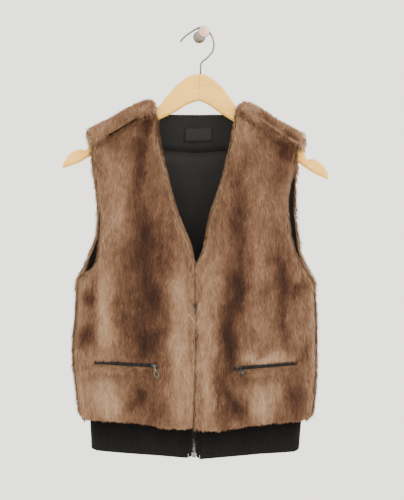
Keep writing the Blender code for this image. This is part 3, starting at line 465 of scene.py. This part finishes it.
# Fur: the pelt under it, and strands scattered over its outer side
fur = {
    "length": 13.5 * mm, "wide": 0.85 * mm, "rise": 4.8 * mm, "root": 1.2 * mm,
    "smallest": 0.62, "largest": 1.14, "turn": (0.10, 0.50, 0.36),
    "sunk": 0.30,  # share of the thickness that the pelt lies under the fur's outer face
    "deepest": 16 * mm,  # of a wall's thickness, the most that counts for that
    "axisY": -47.5 * mm, "axisX": (-120 * mm, 110 * mm), "axisTop": -0.2,
    "strands": 96000, "waist": -0.375,  # strands for each piece, and where the back's two pieces meet
    "outer": 0.25, "rims": -0.35, "rimsDown": -0.6,  # how far a face looks outwards, or down
    "tone": 0.45, "patch": 0.60, "paintedSideLight": 0.3, "sideFrom": 0.35, "sideOver": 0.5,
    "partingTop": -0.25, "partingWide": 0.14,
}
# Waves in the edges of the patches: how far, its length in x and in z, where it starts
edgeWavesX = ((2.6, 21, 15.0, 0), (1.7, -11, 6.3, 2))
edgeWavesZ = ((5.5, 7.7, math.inf, 0.8), (3.0, 3.9, 29, 0))
# Waves in the way that the strands lean sideways
leanWaves = ((0.16, 23, 61, 0), (0.11, 9.5, -37, 1.3), (0.08, 5.5, 14, 0))
# The height of the hanger arms' middle, by x
armMiddle = ((-230, -222), (-190, -203), (-140, -174), (-105, -154), (-72, -137), (-60, -128),
             (0, -125), (60, -128), (72, -143), (105, -161), (140, -186), (190, -218), (230, -232))
# Patches of colour on the fur: x, z, half the width, half the height, lean, tone
rightTones = (
    # (-95, -198): painted shade in the crease down the right front's strap
    (-140, -280, 23, 90, 0, 0.36), (-155, -464, 15, 74, 0, 0.66), (-95, -198, 10, 66, 6, -0.5),
    (-87, -321, 16, 53, 0, -0.46), (-92, -428, 36, 99, 0, -0.4), (-83, -506, 22, 22, 0, -0.55),
    (-50, -335, 20, 60, 0, -0.22),
    (-81, -428, 13, 43, 0, -0.2), (-181, -432, 13, 15, 0, -0.5), (-187, -494, 14, 18, 0, -0.5),
    (-30, -510, 20, 156, 0, 0.55), (-56, -300, 18, 41, 0, 0.12), (-156, -601, 36, 46, 0, 0.6),
    (-94, -588, 11, 15, 30, -0.55), (-112, -612, 11, 20, 42, -0.5), (-74, -617, 21, 30, 0, -0.2),
    # (-92, -142): painted shade at the top of that crease
    (-138, -142, 36, 16, 0, 0.3), (-171, -182, 16, 20, 0, 0.25), (-92, -142, 13, 16, 0, -0.3),
    (-192, -551, 14, 34, 0, 0.15), (-176, -392, 16, 13, 0, 0.15), (-34, -654, 26, 8, 0, 0.3),
)
leftTones = (
    (13, -527, 16, 131, 0, 0.5), (15, -382, 18, 33, 0, 0.2), (48, -497, 12, 56, 0, -0.82),
    (64, -420, 15, 32, 0, -0.75), (67, -338, 15, 58, 0, -0.4), (64, -264, 13, 41, 0, -0.25),
    (98, -330, 18, 90, 0, 0.22), (94, -478, 21, 66, 0, 0.12), (135, -395, 12, 39, 0, -0.55),
    (140, -461, 7, 49, 0, -0.4), (164, -418, 15, 13, 0, -0.5), (172, -494, 18, 59, 0, 0.08),
    (172, -530, 8, 22, 12, -0.6), (140, -532, 23, 12, 0, 0.35), (44, -601, 13, 49, 0, -0.3),
    (62, -609, 9, 32, -27, -0.6), (107, -600, 24, 50, 0, 0.55), (157, -601, 20, 30, 0, -0.42),
    (181, -617, 13, 33, 0, -0.1), (67, -149, 30, 30, 0, 0.52), (140, -192, 15, 15, 0, -0.48),
    (126, -225, 13, 20, 0, -0.2), (103, -165, 13, 10, 0, -0.25), (144, -156, 26, 15, 0, 0.3),
    # (100, -536): a painted highlight, the light band along the fur's edge above the left pocket zip
    (29, -601, 3, 41, 0, -0.4), (31, -560, 2.2, 46, 0, -0.45), (100, -536, 36, 8, 3, 0.7),
    (12, -656, 16, 8, 0, 0.3),
)
backTones = (
    (-150, -260, 18, 90, 0, 0.45), (-108, -300, 15, 120, 3, -0.55), (-60, -260, 22, 110, 0, 0.4),
    (-16, -330, 16, 120, 0, -0.6), (26, -280, 18, 110, -2, 0.45), (66, -310, 14, 110, 0, -0.5),
    (112, -270, 22, 90, 2, 0.4), (150, -330, 12, 70, 0, -0.4), (-170, -470, 16, 70, 0, -0.3),
    (-128, -520, 20, 80, 0, 0.5), (-82, -500, 14, 60, -6, -0.6), (-40, -540, 20, 80, 0, 0.45),
    (8, -500, 14, 70, 5, -0.5), (50, -550, 20, 80, 0, 0.5), (92, -500, 14, 80, 0, -0.6),
    (134, -540, 18, 80, 0, 0.4), (170, -480, 12, 60, 0, -0.3), (-100, -610, 22, 24, 20, -0.4),
    (20, -620, 20, 18, -15, -0.3), (120, -620, 18, 18, 10, -0.4), (-105, -131, 30, 22, 0, 0.12),
    (-145, -154, 30, 24, 0, 0.08), (-178, -184, 18, 22, 0, 0.2), (82, -124, 26, 20, 0, 0.25),
    (116, -143, 26, 20, 0, 0.15), (150, -168, 26, 22, 0, 0.12), (177, -190, 14, 20, 0, 0.2),
)


def waved(start, x, z, waves):
    for far, acrossLength, downLength, phase in waves:
        start = start + far * np.sin(x / acrossLength + z / downLength + phase)
    return start


def patchesAt(points, patches, base):
    total = np.full(len(points), base)
    xs, zs = points[:, 0] / mm, points[:, 2] / mm
    # The patches have uneven edges
    xs = waved(xs, xs, zs, edgeWavesX)
    zs = waved(zs, xs, zs, edgeWavesZ)
    for x, z, wide, high, lean, tone in patches:
        turn = math.radians(lean)
        across, down = xs - x, zs - z
        side = (across * math.cos(turn) - down * math.sin(turn)) / wide
        end = (across * math.sin(turn) + down * math.cos(turn)) / high
        total += fur["patch"] * tone * np.exp(-np.abs(side) ** 2.1 - np.abs(end) ** 2.4)
    return total


def outwardFrom(points):
    table = np.array(armMiddle) * mm
    axis = np.empty_like(points)
    axis[:, 0] = np.clip(points[:, 0], *fur["axisX"])
    axis[:, 0] = np.where(points[:, 2] > fur["axisTop"], points[:, 0], axis[:, 0])
    axis[:, 1] = fur["axisY"]
    axis[:, 2] = np.minimum(points[:, 2], np.interp(points[:, 0], table[:, 0], table[:, 1]))
    return unit(points - axis)


def outerFaces(made):
    # The faces of the outer side, and with them those of the rims
    made.normal_update()
    middles = np.array([face.calc_center_median() for face in made.faces])
    normals = np.array([face.normal for face in made.faces])
    facing = (outwardFrom(middles) * normals).sum(axis=1)
    outer = [face for face, share in zip(made.faces, facing) if share > fur["outer"]]
    rims = [
        face for face, share in zip(made.faces, facing)
        if fur["rims"] < share <= fur["outer"] and face.normal.z > fur["rimsDown"]
    ]
    return outer, rims


def smoothNormals(made, faces):
    found = {}
    for face in faces:
        for vertex in face.verts:
            found[vertex] = found.get(vertex, Vector()) + face.normal * face.calc_area()
    return {vertex: normal.normalized() for vertex, normal in found.items()}


# Where the back's strands part over the shoulders: x, the height of the direction out, and how much
# painted shade darkens the parting
partings = (
    (-200, 0.5, 0), (-158, 0.45, 0), (-150, -0.9, 0), (-108, -0.9, 0), (-100, 0.5, 0), (-70, 0.8, 0),
    (50, 0.8, 0), (95, 0.6, 0), (103, 0.46, 0.3), (124, 0.4, 0.42), (131, 0.38, 0.1),
    (143, 0.34, 0.45), (163, 0.16, 0.3), (172, 0.15, 0), (185, 0.15, 0),
)


def partingAt(points, out):
    # How far above the parting, and how much darker by it: painted shade in the parting
    places, heights, partingShade = np.array(partings).T
    x = points[:, 0] / mm
    above = out[:, 2] - np.interp(x, places, heights)
    return above, np.interp(x, places, partingShade) * np.exp(-(above / fur["partingWide"]) ** 2)


# How the strands lie, in millimetres and shares; a spot is its x and z, its half width and half height
lie = {
    "down": (0.0, -0.3, -1.0), "chestFrom": -235, "chestOver": 60, "chestMore": 0.8, "spread": 0.45,
    "shoulderFrom": -250, "shoulderOver": 30, "neckWay": (0.0, 0.45, 1.0),
    "leanIn": 1.5, "leanInSpot": (-7, -464, 13, 26),
    "neckMiddle": -8, "neckHalf": 72, "neckFade": 10, "neckFrom": -158, "neckOver": 16,
}
# How long they are, as a share of their full length
cut = {
    "pocketBand": (-3, 16), "pocketRoot": 0.2, "pocketOver": 14.0, "pocketLeast": 0.12, "atPull": 0.55,
    "slider": 0.28, "sliderSpot": (-7, -458, 11, 15),
    "armhole": 1.45, "armholeFrom": -420, "armholeTo": -215, "armholeSide": 0.45, "neck": 0.62,
    "bin": 8.0, "hem": 0.56, "hemOver": 30, "hemLeast": 0.4, "hemWave": 0.12,
}


def spotAt(x, z, middleX, middleZ, wide, high):
    return np.exp(-((x - middleX) / wide) ** 2 - ((z - middleZ) / high) ** 2)


def atNeck(points):
    # How near a point is to the neck's edge, from 0 to 1
    away = np.abs(points[:, 0] / mm - lie["neckMiddle"])
    across = np.clip((lie["neckHalf"] - away) / lie["neckFade"], 0, 1)
    return across * np.clip((points[:, 2] / mm - lie["neckFrom"]) / lie["neckOver"], 0, 1)


def combOf(points, out, behind):
    # Down, leaning a little this way and that in patches
    x, z = points[:, 0] / mm, points[:, 2] / mm
    way = np.tile(np.array(lie["down"]), (len(points), 1))
    forward = lie["down"][1]
    chest = np.clip((z - lie["chestFrom"]) / lie["chestOver"], 0, 1)
    way[:, 1] = np.where(z > lie["chestFrom"], forward - lie["chestMore"] * chest, forward)
    way[:, 0] = waved(0, x, z, leanWaves) + lie["spread"] * out[:, 0]
    if behind:
        # The back's strands start at its seam in front of the shoulder, and lie up over it
        over = np.clip((z - lie["shoulderFrom"]) / lie["shoulderOver"], 0, 1)[:, None]
        part = 0.2 * np.sin(x / 13 + 0.6)
        around = np.stack([way[:, 0], out[:, 2], part - out[:, 1]], axis=1)
        below = (partingAt(points, out)[0] < 0) & (out[:, 1] < 0.2)
        under = np.stack([way[:, 0], -out[:, 2], out[:, 1]], axis=1)
        around = np.where(below[:, None], under, around)
        way = way * (1 - over) + around * over
        # At the back of the neck they stand up behind the facing
        way += (np.array(lie["neckWay"]) - way) * atNeck(points)[:, None]
    # Over the gap in front of the zip pull the strands of both edges lean in
    way[:, 0] -= lie["leanIn"] * np.sign(x - lie["leanInSpot"][0]) * spotAt(x, z, *lie["leanInSpot"])
    return unit(way - out * (way * out).sum(axis=1, keepdims=True))


# Where strands stay short: along the pocket zips, from x, z to x, z, and round the pulls: x, z, radius
pocketLines = ((-173.5, -547.3, -68.5, -552.6), (159.8, -549.4, 55.8, -557.0))
pullSpots = ((-71.5, -563.5, 9), (73.5, -566, 9))


def sizesAt(points, out, behind):
    x, z = points[:, 0] / mm, points[:, 2] / mm
    size = np.ones(len(points))
    front = points[:, 1] < fur["axisY"]
    for x0, z0, x1, z1 in pocketLines:
        over = z - (z0 + (z1 - z0) * (x - x0) / (x1 - x0))
        along = front & (x > min(x0, x1) - 1) & (x < max(x0, x1) + 1)
        near = along & (over > cut["pocketBand"][0]) & (over < cut["pocketBand"][1])
        short = np.clip((over + cut["pocketRoot"]) / cut["pocketOver"], cut["pocketLeast"], 1)
        size = np.where(near, short, size)
    for x0, z0, radius in pullSpots:
        near = front & (np.hypot(x - x0, z - z0) < radius)
        size = np.where(near, np.minimum(size, cut["atPull"]), size)
    size = np.where(front, size * (1 + cut["slider"] * spotAt(x, z, *cut["sliderSpot"])), size)
    if behind:
        # Fuller round the armholes, shorter at the back of the neck
        rim = (np.abs(out[:, 0]) > cut["armholeSide"]) & (z > cut["armholeFrom"]) & (z < cut["armholeTo"])
        size = np.where(rim, cut["armhole"] * size, size)
        size = size + (cut["neck"] - size) * atNeck(points)
    # Shorter and uneven towards the lower edge, which the strands hang past only a little
    bins = np.arange(x.min() - cut["bin"] / 2, x.max() + 1.5 * cut["bin"], cut["bin"])
    at = np.digitize(x, bins)
    lowest = np.array([
        z[at == number].min() if np.any(at == number) else z.min() for number in range(len(bins) + 1)
    ])
    height = z - np.interp(x, bins[:-1] + cut["bin"] / 2, lowest[1:-1])
    uneven = cut["hemWave"] * np.sin(x / 3.1) * np.sin(x / 7.7 + 1)
    return size * np.clip(cut["hem"] + uneven + height / cut["hemOver"], cut["hemLeast"], 1)


def pelt(name, word, tones):
    made = wholeMesh(name)
    outer, rims = outerFaces(made)
    normals = smoothNormals(made, outer)
    allNormals = smoothNormals(made, outer + rims)
    inner = [v for v in made.verts if v not in normals]
    tree = KDTree(len(inner))
    for place, vertex in enumerate(inner):
        tree.insert(vertex.co, place)
    tree.balance()
    surface = bmesh.new()
    outLayer = surface.verts.layers.float_vector.new("out")
    depthLayer = surface.verts.layers.float.new("depth")
    twins = {vertex: surface.verts.new(vertex.co) for vertex in allNormals}
    deep = {}
    for vertex, normal in normals.items():
        deep[vertex] = fur["sunk"] * min(tree.find(vertex.co)[2], fur["deepest"])
    for vertex, twin in twins.items():
        twin[outLayer] = allNormals[vertex]
        twin[depthLayer] = deep.get(vertex, 0.0)
    for face in outer + rims:
        surface.faces.new([twins[v] for v in face.verts])
    for vertex, normal in normals.items():
        vertex.co -= normal * deep[vertex]
    skin = linked("pelt_" + word, meshFrom("pelt_" + word, made))
    finished(skin, peltMaterial, standsFor=[name])
    bmesh.ops.subdivide_edges(surface, edges=surface.edges, cuts=3, use_grid_fill=True)
    bmesh.ops.triangulate(surface, faces=surface.faces)
    mesh = bpy.data.meshes.new("surface")
    surface.to_mesh(mesh)
    surface.free()
    count = len(mesh.vertices)
    points, out, depth = np.empty(count * 3), np.empty(count * 3), np.empty(count)
    mesh.vertices.foreach_get("co", points)
    mesh.attributes["out"].data.foreach_get("vector", out)
    mesh.attributes["depth"].data.foreach_get("value", depth)
    points, out = points.reshape(-1, 3), unit(out.reshape(-1, 3))
    mesh.vertices.foreach_set("co", (points - out * (depth[:, None] + fur["root"])).ravel())
    mesh.attributes["out"].data.foreach_set("vector", out.ravel())
    behind = word == "back"
    setAttribute(mesh, "comb", combOf(points, out, behind))
    # Painted light: the fur is made lighter where it turns sideways, standing in for the pale fringe of
    # light at its sides
    aside = np.clip((np.abs(out[:, 0]) - fur["sideFrom"]) / fur["sideOver"], 0, 1)
    tone = patchesAt(points, tones, fur["tone"]) + fur["paintedSideLight"] * aside
    if behind:
        # Painted shade along the parting over the shoulders
        tone -= np.where(points[:, 2] > fur["partingTop"], partingAt(points, out)[1], 0)
    setAttribute(mesh, "tone", tone)
    setAttribute(mesh, "size", sizesAt(points, out, behind))
    return skin, mesh


def strandPiece():
    long, wide, rise = fur["length"], fur["wide"] / 2, fur["rise"]
    points = (
        (0, 0, 0), (-wide, 0.42 * long, 0.76 * rise), (wide, 0.42 * long, 0.76 * rise), (0, long, rise),
    )
    mesh = bpy.data.meshes.new("strand")
    mesh.from_pydata(points, [], ((0, 2, 1), (1, 2, 3)))
    mesh.shade_smooth()
    setAttribute(mesh, "along", np.array([0, 0.5, 0.5, 1.0]))
    return linked("strand", mesh)


strand = strandPiece()


def strands(name, surface, lowest, highest, seed):
    # The strands that root on the part of the surface between two heights
    made = bmesh.new()
    made.from_mesh(surface)
    outside = [f for f in made.faces if not lowest <= f.calc_center_median().z < highest]
    bmesh.ops.delete(made, geom=outside, context="FACES")
    area = sum(face.calc_area() for face in made.faces)
    mesh = bpy.data.meshes.new(name)
    made.to_mesh(mesh)
    made.free()
    grown = repeated(
        name, linked(name + "_base", mesh), scatterTree, Piece=strand,
        Density=fur["strands"] / area, Seed=seed, Smallest=fur["smallest"], Largest=fur["largest"],
        Turn=fur["turn"], Material=furMaterial,
    )
    print(name, "area", round(area, 4), "triangles", len(grown.data.polygons))
    return finished(grown, furMaterial)


skins = {}
skins["right"], surfaceRight = pelt("fur_front_right", "front_right", rightTones)
skins["left"], surfaceLeft = pelt("fur_front_left", "front_left", leftTones)
skins["back"], surfaceBack = pelt("fur_back", "back", backTones)
pile = {
    "right": [strands("strands_front_right", surfaceRight, -1, 1, 3)],
    "left": [strands("strands_front_left", surfaceLeft, -1, 1, 4)],
    "back": [
        strands("strands_back_upper", surfaceBack, fur["waist"], 1, 5),
        strands("strands_back_lower", surfaceBack, -1, fur["waist"], 6),
    ],
}
bpy.data.objects.remove(strand)
print("fur made")

# Lining, facing and label: thin shells with soft folds that the three share
# Each fold goes from x, z to x, z, with its half width and depth
lining = {"cuts": 2, "ends": (0.04, 0.96), "least": 0.35}
liningFolds = (
    (-60, -190, -74, -360, 9, 1.2), (-36, -175, -40, -300, 7, 0.9), (-8, -210, -14, -420, 10, 1.3),
    (18, -180, 26, -330, 8, 1.0), (48, -190, 54, -380, 10, 1.2), (-110, -240, -104, -520, 12, 1.4),
    (98, -260, 90, -540, 12, 1.4), (-30, -440, -46, -600, 9, 1.1), (34, -430, 40, -610, 9, 1.1),
    (-52, -152, -20, -176, 7, 0.6), (24, -158, 56, -150, 8, -0.6), (-120, -560, -60, -590, 9, 0.8),
    (60, -580, 130, -560, 9, 0.8),
)


def foldDepth(points):
    flat = points[:, [0, 2]] / mm
    total = np.zeros(len(points))
    for x0, z0, x1, z1, wide, deep in liningFolds:
        start, way = np.array([x0, z0], float), np.array([x1 - x0, z1 - z0], float)
        share = np.clip((flat - start) @ way / (way @ way), 0, 1)
        away = np.linalg.norm(flat - start - share[:, None] * way, axis=1)
        full = np.sin(math.pi * np.clip(share, *lining["ends"]))
        total += deep * np.exp(-((away / wide) ** 2)) * (lining["least"] + (1 - lining["least"]) * full)
    return total * mm


def folded(name):
    made = wholeMesh(name)
    bmesh.ops.subdivide_edges(made, edges=made.edges, cuts=lining["cuts"], use_grid_fill=True)
    points = np.array([v.co for v in made.verts])
    # Towards the middle of the body, away from the fur
    way = -outwardFrom(points)
    way[:, 2] = 0
    moved = points + unit(way) * foldDepth(points)[:, None]
    for vertex, spot in zip(made.verts, moved):
        vertex.co = spot
    return linked(name + "_cloth", meshFrom(name + "_cloth", made))


cloth = {}
for name, material, slotName in (
    ("lining_front_right", liningMaterial, "lining"), ("lining_front_left", liningMaterial, "lining"),
    ("lining_back", liningMaterial, "lining"), ("neck_facing", facingMaterial, "lining"),
    ("neck_label", labelMaterial, "label"),
):
    cloth[name] = finished(folded(name), material, standsFor=[name])
print("lining made")

# Ribbed hem and plackets
for name in ("rib_front_right", "rib_front_left", "rib_back", "placket_right", "placket_left"):
    made = wholeMesh(name)
    knit = linked(name + "_knit", meshFrom(name + "_knit", made))
    cloth[name] = finished(knit, knitMaterial, standsFor=[name])
print("knit made")


def surfaceOf(name):
    made = wholeMesh(name)
    made.normal_update()
    return BVHTree.FromBMesh(made)


def pointsMesh(name, points, out, comb):
    mesh = bpy.data.meshes.new(name)
    mesh.from_pydata([tuple(p) for p in points], [], [])
    setAttribute(mesh, "out", unit(np.array(out)))
    setAttribute(mesh, "comb", unit(np.array(comb)))
    setAttribute(mesh, "size", np.ones(len(points)))
    return linked(name, mesh)


def boxPiece(name, wide, long, high, bevel):
    made = bmesh.new()
    bmesh.ops.create_cube(made, size=1)
    for vertex in made.verts:
        vertex.co = (vertex.co.x * wide, vertex.co.y * long, vertex.co.z * high)
    bmesh.ops.bevel(made, geom=made.edges, offset=bevel, segments=1, affect="EDGES", profile=0.5)
    return linked(name, meshFrom(name, made))


# Zip teeth: a row each side of the middle, set half a pitch apart
zipSizes = {
    "pitch": 2.6 * mm, "tooth": (3.0 * mm, 1.3 * mm, 2.0 * mm), "side": 1.15 * mm, "bevel": 0.28 * mm,
    "lift": 0.3 * mm, "pocketPitch": 2.0 * mm, "pocketTooth": (2.2 * mm, 1.0 * mm, 1.0 * mm),
    "pocketSide": 0.8 * mm, "pocketBevel": 0.2 * mm, "pocketLift": 0.2 * mm,
    "stops": ((-8.6, -696.3), (-8.6, -646.8), (-7.2, -606.8), (-5.2, -486.8), (-7.0, -391)),
}
pocketRows = {"right": ((-172, -547.4), (-83, -552.0)), "left": ((158, -549.5), (74, -555.7))}
# Teeth are all alike: nothing about them is random
alike = {"Density": 0.0, "Seed": 1, "Smallest": 1.0, "Largest": 1.0, "Turn": (0.0, 0.0, 0.0)}


def teethAlong(start, end, tree, pitch, side, lift):
    # Teeth from start to end, x and z, on the front of a strip
    start, end = np.array(start), np.array(end)
    way = end - start
    length = np.linalg.norm(way)
    way = way / length
    cross = np.array([-way[1], way[0]])
    points, out, comb = [], [], []
    for number in range(int(length / (pitch / 2))):
        across = side if number % 2 else -side
        x, z = start + way * (number + 0.5) * pitch / 2 + cross * across
        hit, normal = tree.ray_cast(Vector((x, -0.3, z)), Vector((0, 1, 0)))[:2]
        if hit is None:
            continue
        points.append(np.array(hit) + np.array(normal) * lift)
        out.append(np.array(normal))
        comb.append(np.array([way[0], 0, way[1]]))
    return pointsMesh("row", points, out, comb)


chainTree = surfaceOf("zip_chain")
tooth = boxPiece("tooth", *zipSizes["tooth"], zipSizes["bevel"])
rows = []
for number, (start, end) in enumerate(zip(zipSizes["stops"], zipSizes["stops"][1:])):
    base = teethAlong(np.array(start) * mm, np.array(end) * mm, chainTree, zipSizes["pitch"],
                      zipSizes["side"], zipSizes["lift"])
    rows.append(repeated(
        "teeth_%d" % number, base, placeTree, Piece=tooth, Material=teethMaterial, **alike,
    ))
bpy.data.objects.remove(tooth)


def joinedInto(name, things):
    made = bmesh.new()
    for thing in things:
        made.from_mesh(thing.data)
    mesh = bpy.data.meshes.new(name)
    made.to_mesh(mesh)
    made.free()
    for thing in things:
        bpy.data.objects.remove(thing)
    return linked(name, mesh)


tooth = boxPiece("tooth", *zipSizes["pocketTooth"], zipSizes["pocketBevel"])
for word, (start, end) in pocketRows.items():
    base = teethAlong(np.array(start) * mm, np.array(end) * mm, surfaceOf("pocket_zip_" + word),
                      zipSizes["pocketPitch"], zipSizes["pocketSide"], zipSizes["pocketLift"])
    teeth = repeated(
        "pocket_teeth_" + word, base, placeTree, Piece=tooth, Material=gunmetalMaterial, **alike,
    )
    finished(teeth, gunmetalMaterial)
bpy.data.objects.remove(tooth)
mainTeeth = finished(joinedInto("zip_teeth", rows), teethMaterial)
mainTeeth.data.shade_smooth()
nodes["zip_chain"].data.materials.clear()
nodes["zip_chain"].data.materials.append(tapeMaterial)
for name in ("zip_tape_right", "zip_tape_left", "pocket_zip_right", "pocket_zip_left"):
    tape = linked(name + "_cloth", meshFrom(name + "_cloth", wholeMesh(name), smooth=False))
    cloth[name] = finished(tape, tapeMaterial, standsFor=[name])
print("zip made")


# The solids leave small gaps at the mitre and under the hook: the left arm's end face moves over to
# the right arm, and the hook's end goes down to the wood
hanger = {"mitre": 2.2 * mm, "closed": 0.25 * mm, "hookEnd": -65.2 * mm, "lowered": 0.85 * mm}


# Hard pieces: smooth copies with small rounded edges
def rounded(name, material, body, bevel, angle=30, segments=2):
    made = wholeMesh(name)
    if name == "hanger_arm_left":
        edge = min(v.co.x for v in made.verts)
        for vertex in made.verts:
            if vertex.co.x < edge + hanger["mitre"]:
                vertex.co.x -= hanger["closed"]
    bmesh.ops.dissolve_limit(made, angle_limit=math.radians(1), verts=made.verts, edges=made.edges)
    sharp = [
        e for e in made.edges if len(e.link_faces) == 2 and e.calc_face_angle() > math.radians(angle)
    ]
    bmesh.ops.bevel(made, geom=sharp, offset=bevel, segments=segments, affect="EDGES", profile=0.5,
                    clamp_overlap=True)
    thing = linked(name + "_part", meshFrom(name + "_part", made))
    thing.data.set_sharp_from_angle(angle=math.radians(38))
    return finished(thing, material, body, [name])


rounded("zip_box", boxMaterial, "vest", 0.3 * mm)
rounded("zip_slider", gunmetalMaterial, "vest", 0.25 * mm)
rounded("zip_pull", gunmetalMaterial, "pull_front", 0.2 * mm)
for word in ("right", "left"):
    rounded("pocket_slider_" + word, gunmetalMaterial, "vest", 0.3 * mm)
    # The right pull gets the paler copy, which is painted light; the left one gets the plain gunmetal
    finish = litPullMaterial if word == "right" else gunmetalMaterial
    rounded("pocket_pull_" + word, finish, "pull_" + word, 0.2 * mm)
rounded("wall_peg", pegMaterial, "vest", 0.5 * mm, 40)
rounded("peg_face", copperMaterial, "vest", 0.3 * mm, 40)
rounded("hanger_arm_right", woodRight, "vest", 1.2 * mm, 24, 3)
rounded("hanger_arm_left", woodLeft, "vest", 1.2 * mm, 24, 3)
made = wholeMesh("hanger_hook")
for vertex in made.verts:
    if vertex.co.z < hanger["hookEnd"]:
        vertex.co.z -= hanger["lowered"]
hook = linked("hanger_hook_part", meshFrom("hanger_hook_part", made))
hook.data.set_sharp_from_angle(angle=math.radians(60))
finished(hook, steelMaterial, standsFor=["hanger_hook"])
print("hard pieces made")

# Floor of a plain room
made = bmesh.new()
bmesh.ops.create_grid(made, x_segments=1, y_segments=1, size=room["floorSize"] / 2)
floor = linked("floor", meshFrom("floor", made, smooth=False))
floor.location = (0, 0, room["floorZ"])
plain = Look("floor", Roughness=0.9)
plain.colour(plain.ramp(
    plain.noise(plain.place(), 0.7, 3.0),
    (0.3, tuple(0.96 * c for c in room["floorColour"])), (0.7, room["floorColour"]),
))
floor.data.materials.append(plain.material)

# Sewing: stitches along the facing's lower seam and round the label
sewing = {
    "stitch": (0.45 * mm, 2.0 * mm, 0.35 * mm), "bevel": 0.1 * mm, "pitch": 3.0 * mm, "inside": 2.2 * mm,
    "lift": 0.1 * mm, "search": (-0.15, -0.26), "step": 0.5 * mm,
    "labelStitch": (0.3 * mm, 1.1 * mm, 0.25 * mm), "labelPitch": 1.7 * mm, "labelInside": 0.9 * mm,
    "labelBevel": 0.05 * mm, "labelLift": 0.08 * mm,
}


def clothTree(name):
    made = bmesh.new()
    made.from_mesh(cloth[name].data)
    return BVHTree.FromBMesh(made)


def lowerEdge(tree, x):
    # The lowest height at which the cloth is met from the front
    edge = None
    for z in np.arange(*sewing["search"], -sewing["step"]):
        if tree.ray_cast(Vector((x, -0.3, z)), Vector((0, 1, 0)))[0] is not None:
            edge = z
    return edge


def sewn(name, tree, corners, piece, pitch, lift):
    rows = []
    for number, (start, end) in enumerate(zip(corners, corners[1:])):
        base = teethAlong(start, end, tree, 2 * pitch, 0, lift)
        rows.append(repeated(
            "%s_%d" % (name, number), base, placeTree, Piece=piece, Density=0.0, Seed=2 + number,
            Smallest=0.85, Largest=1.1, Turn=(0.0, 0.0, 0.12), Material=threadMaterial,
        ))
    return finished(joinedInto(name, rows), threadMaterial)


stitch = boxPiece("stitch", *sewing["stitch"], sewing["bevel"])
tree = clothTree("neck_facing")
edges = [(x, lowerEdge(tree, x)) for x in np.arange(-60 * mm, 62 * mm, 12 * mm)]
corners = [(x, z + sewing["inside"]) for x, z in edges if z is not None]
sewn("facing_stitches", tree, corners, stitch, sewing["pitch"], sewing["lift"])
bpy.data.objects.remove(stitch)
stitch = boxPiece("stitch", *sewing["labelStitch"], sewing["labelBevel"])
low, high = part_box("neck_label")
left, right = low[0] + sewing["labelInside"], high[0] - sewing["labelInside"]
lower, upper = low[2] + sewing["labelInside"], high[2] - sewing["labelInside"]
corners = [(left, upper), (right, upper), (right, lower), (left, lower), (left, upper)]
sewn("label_stitches", clothTree("neck_label"), corners, stitch, sewing["labelPitch"], sewing["labelLift"])
bpy.data.objects.remove(stitch)
print("sewing made")

print("all made")
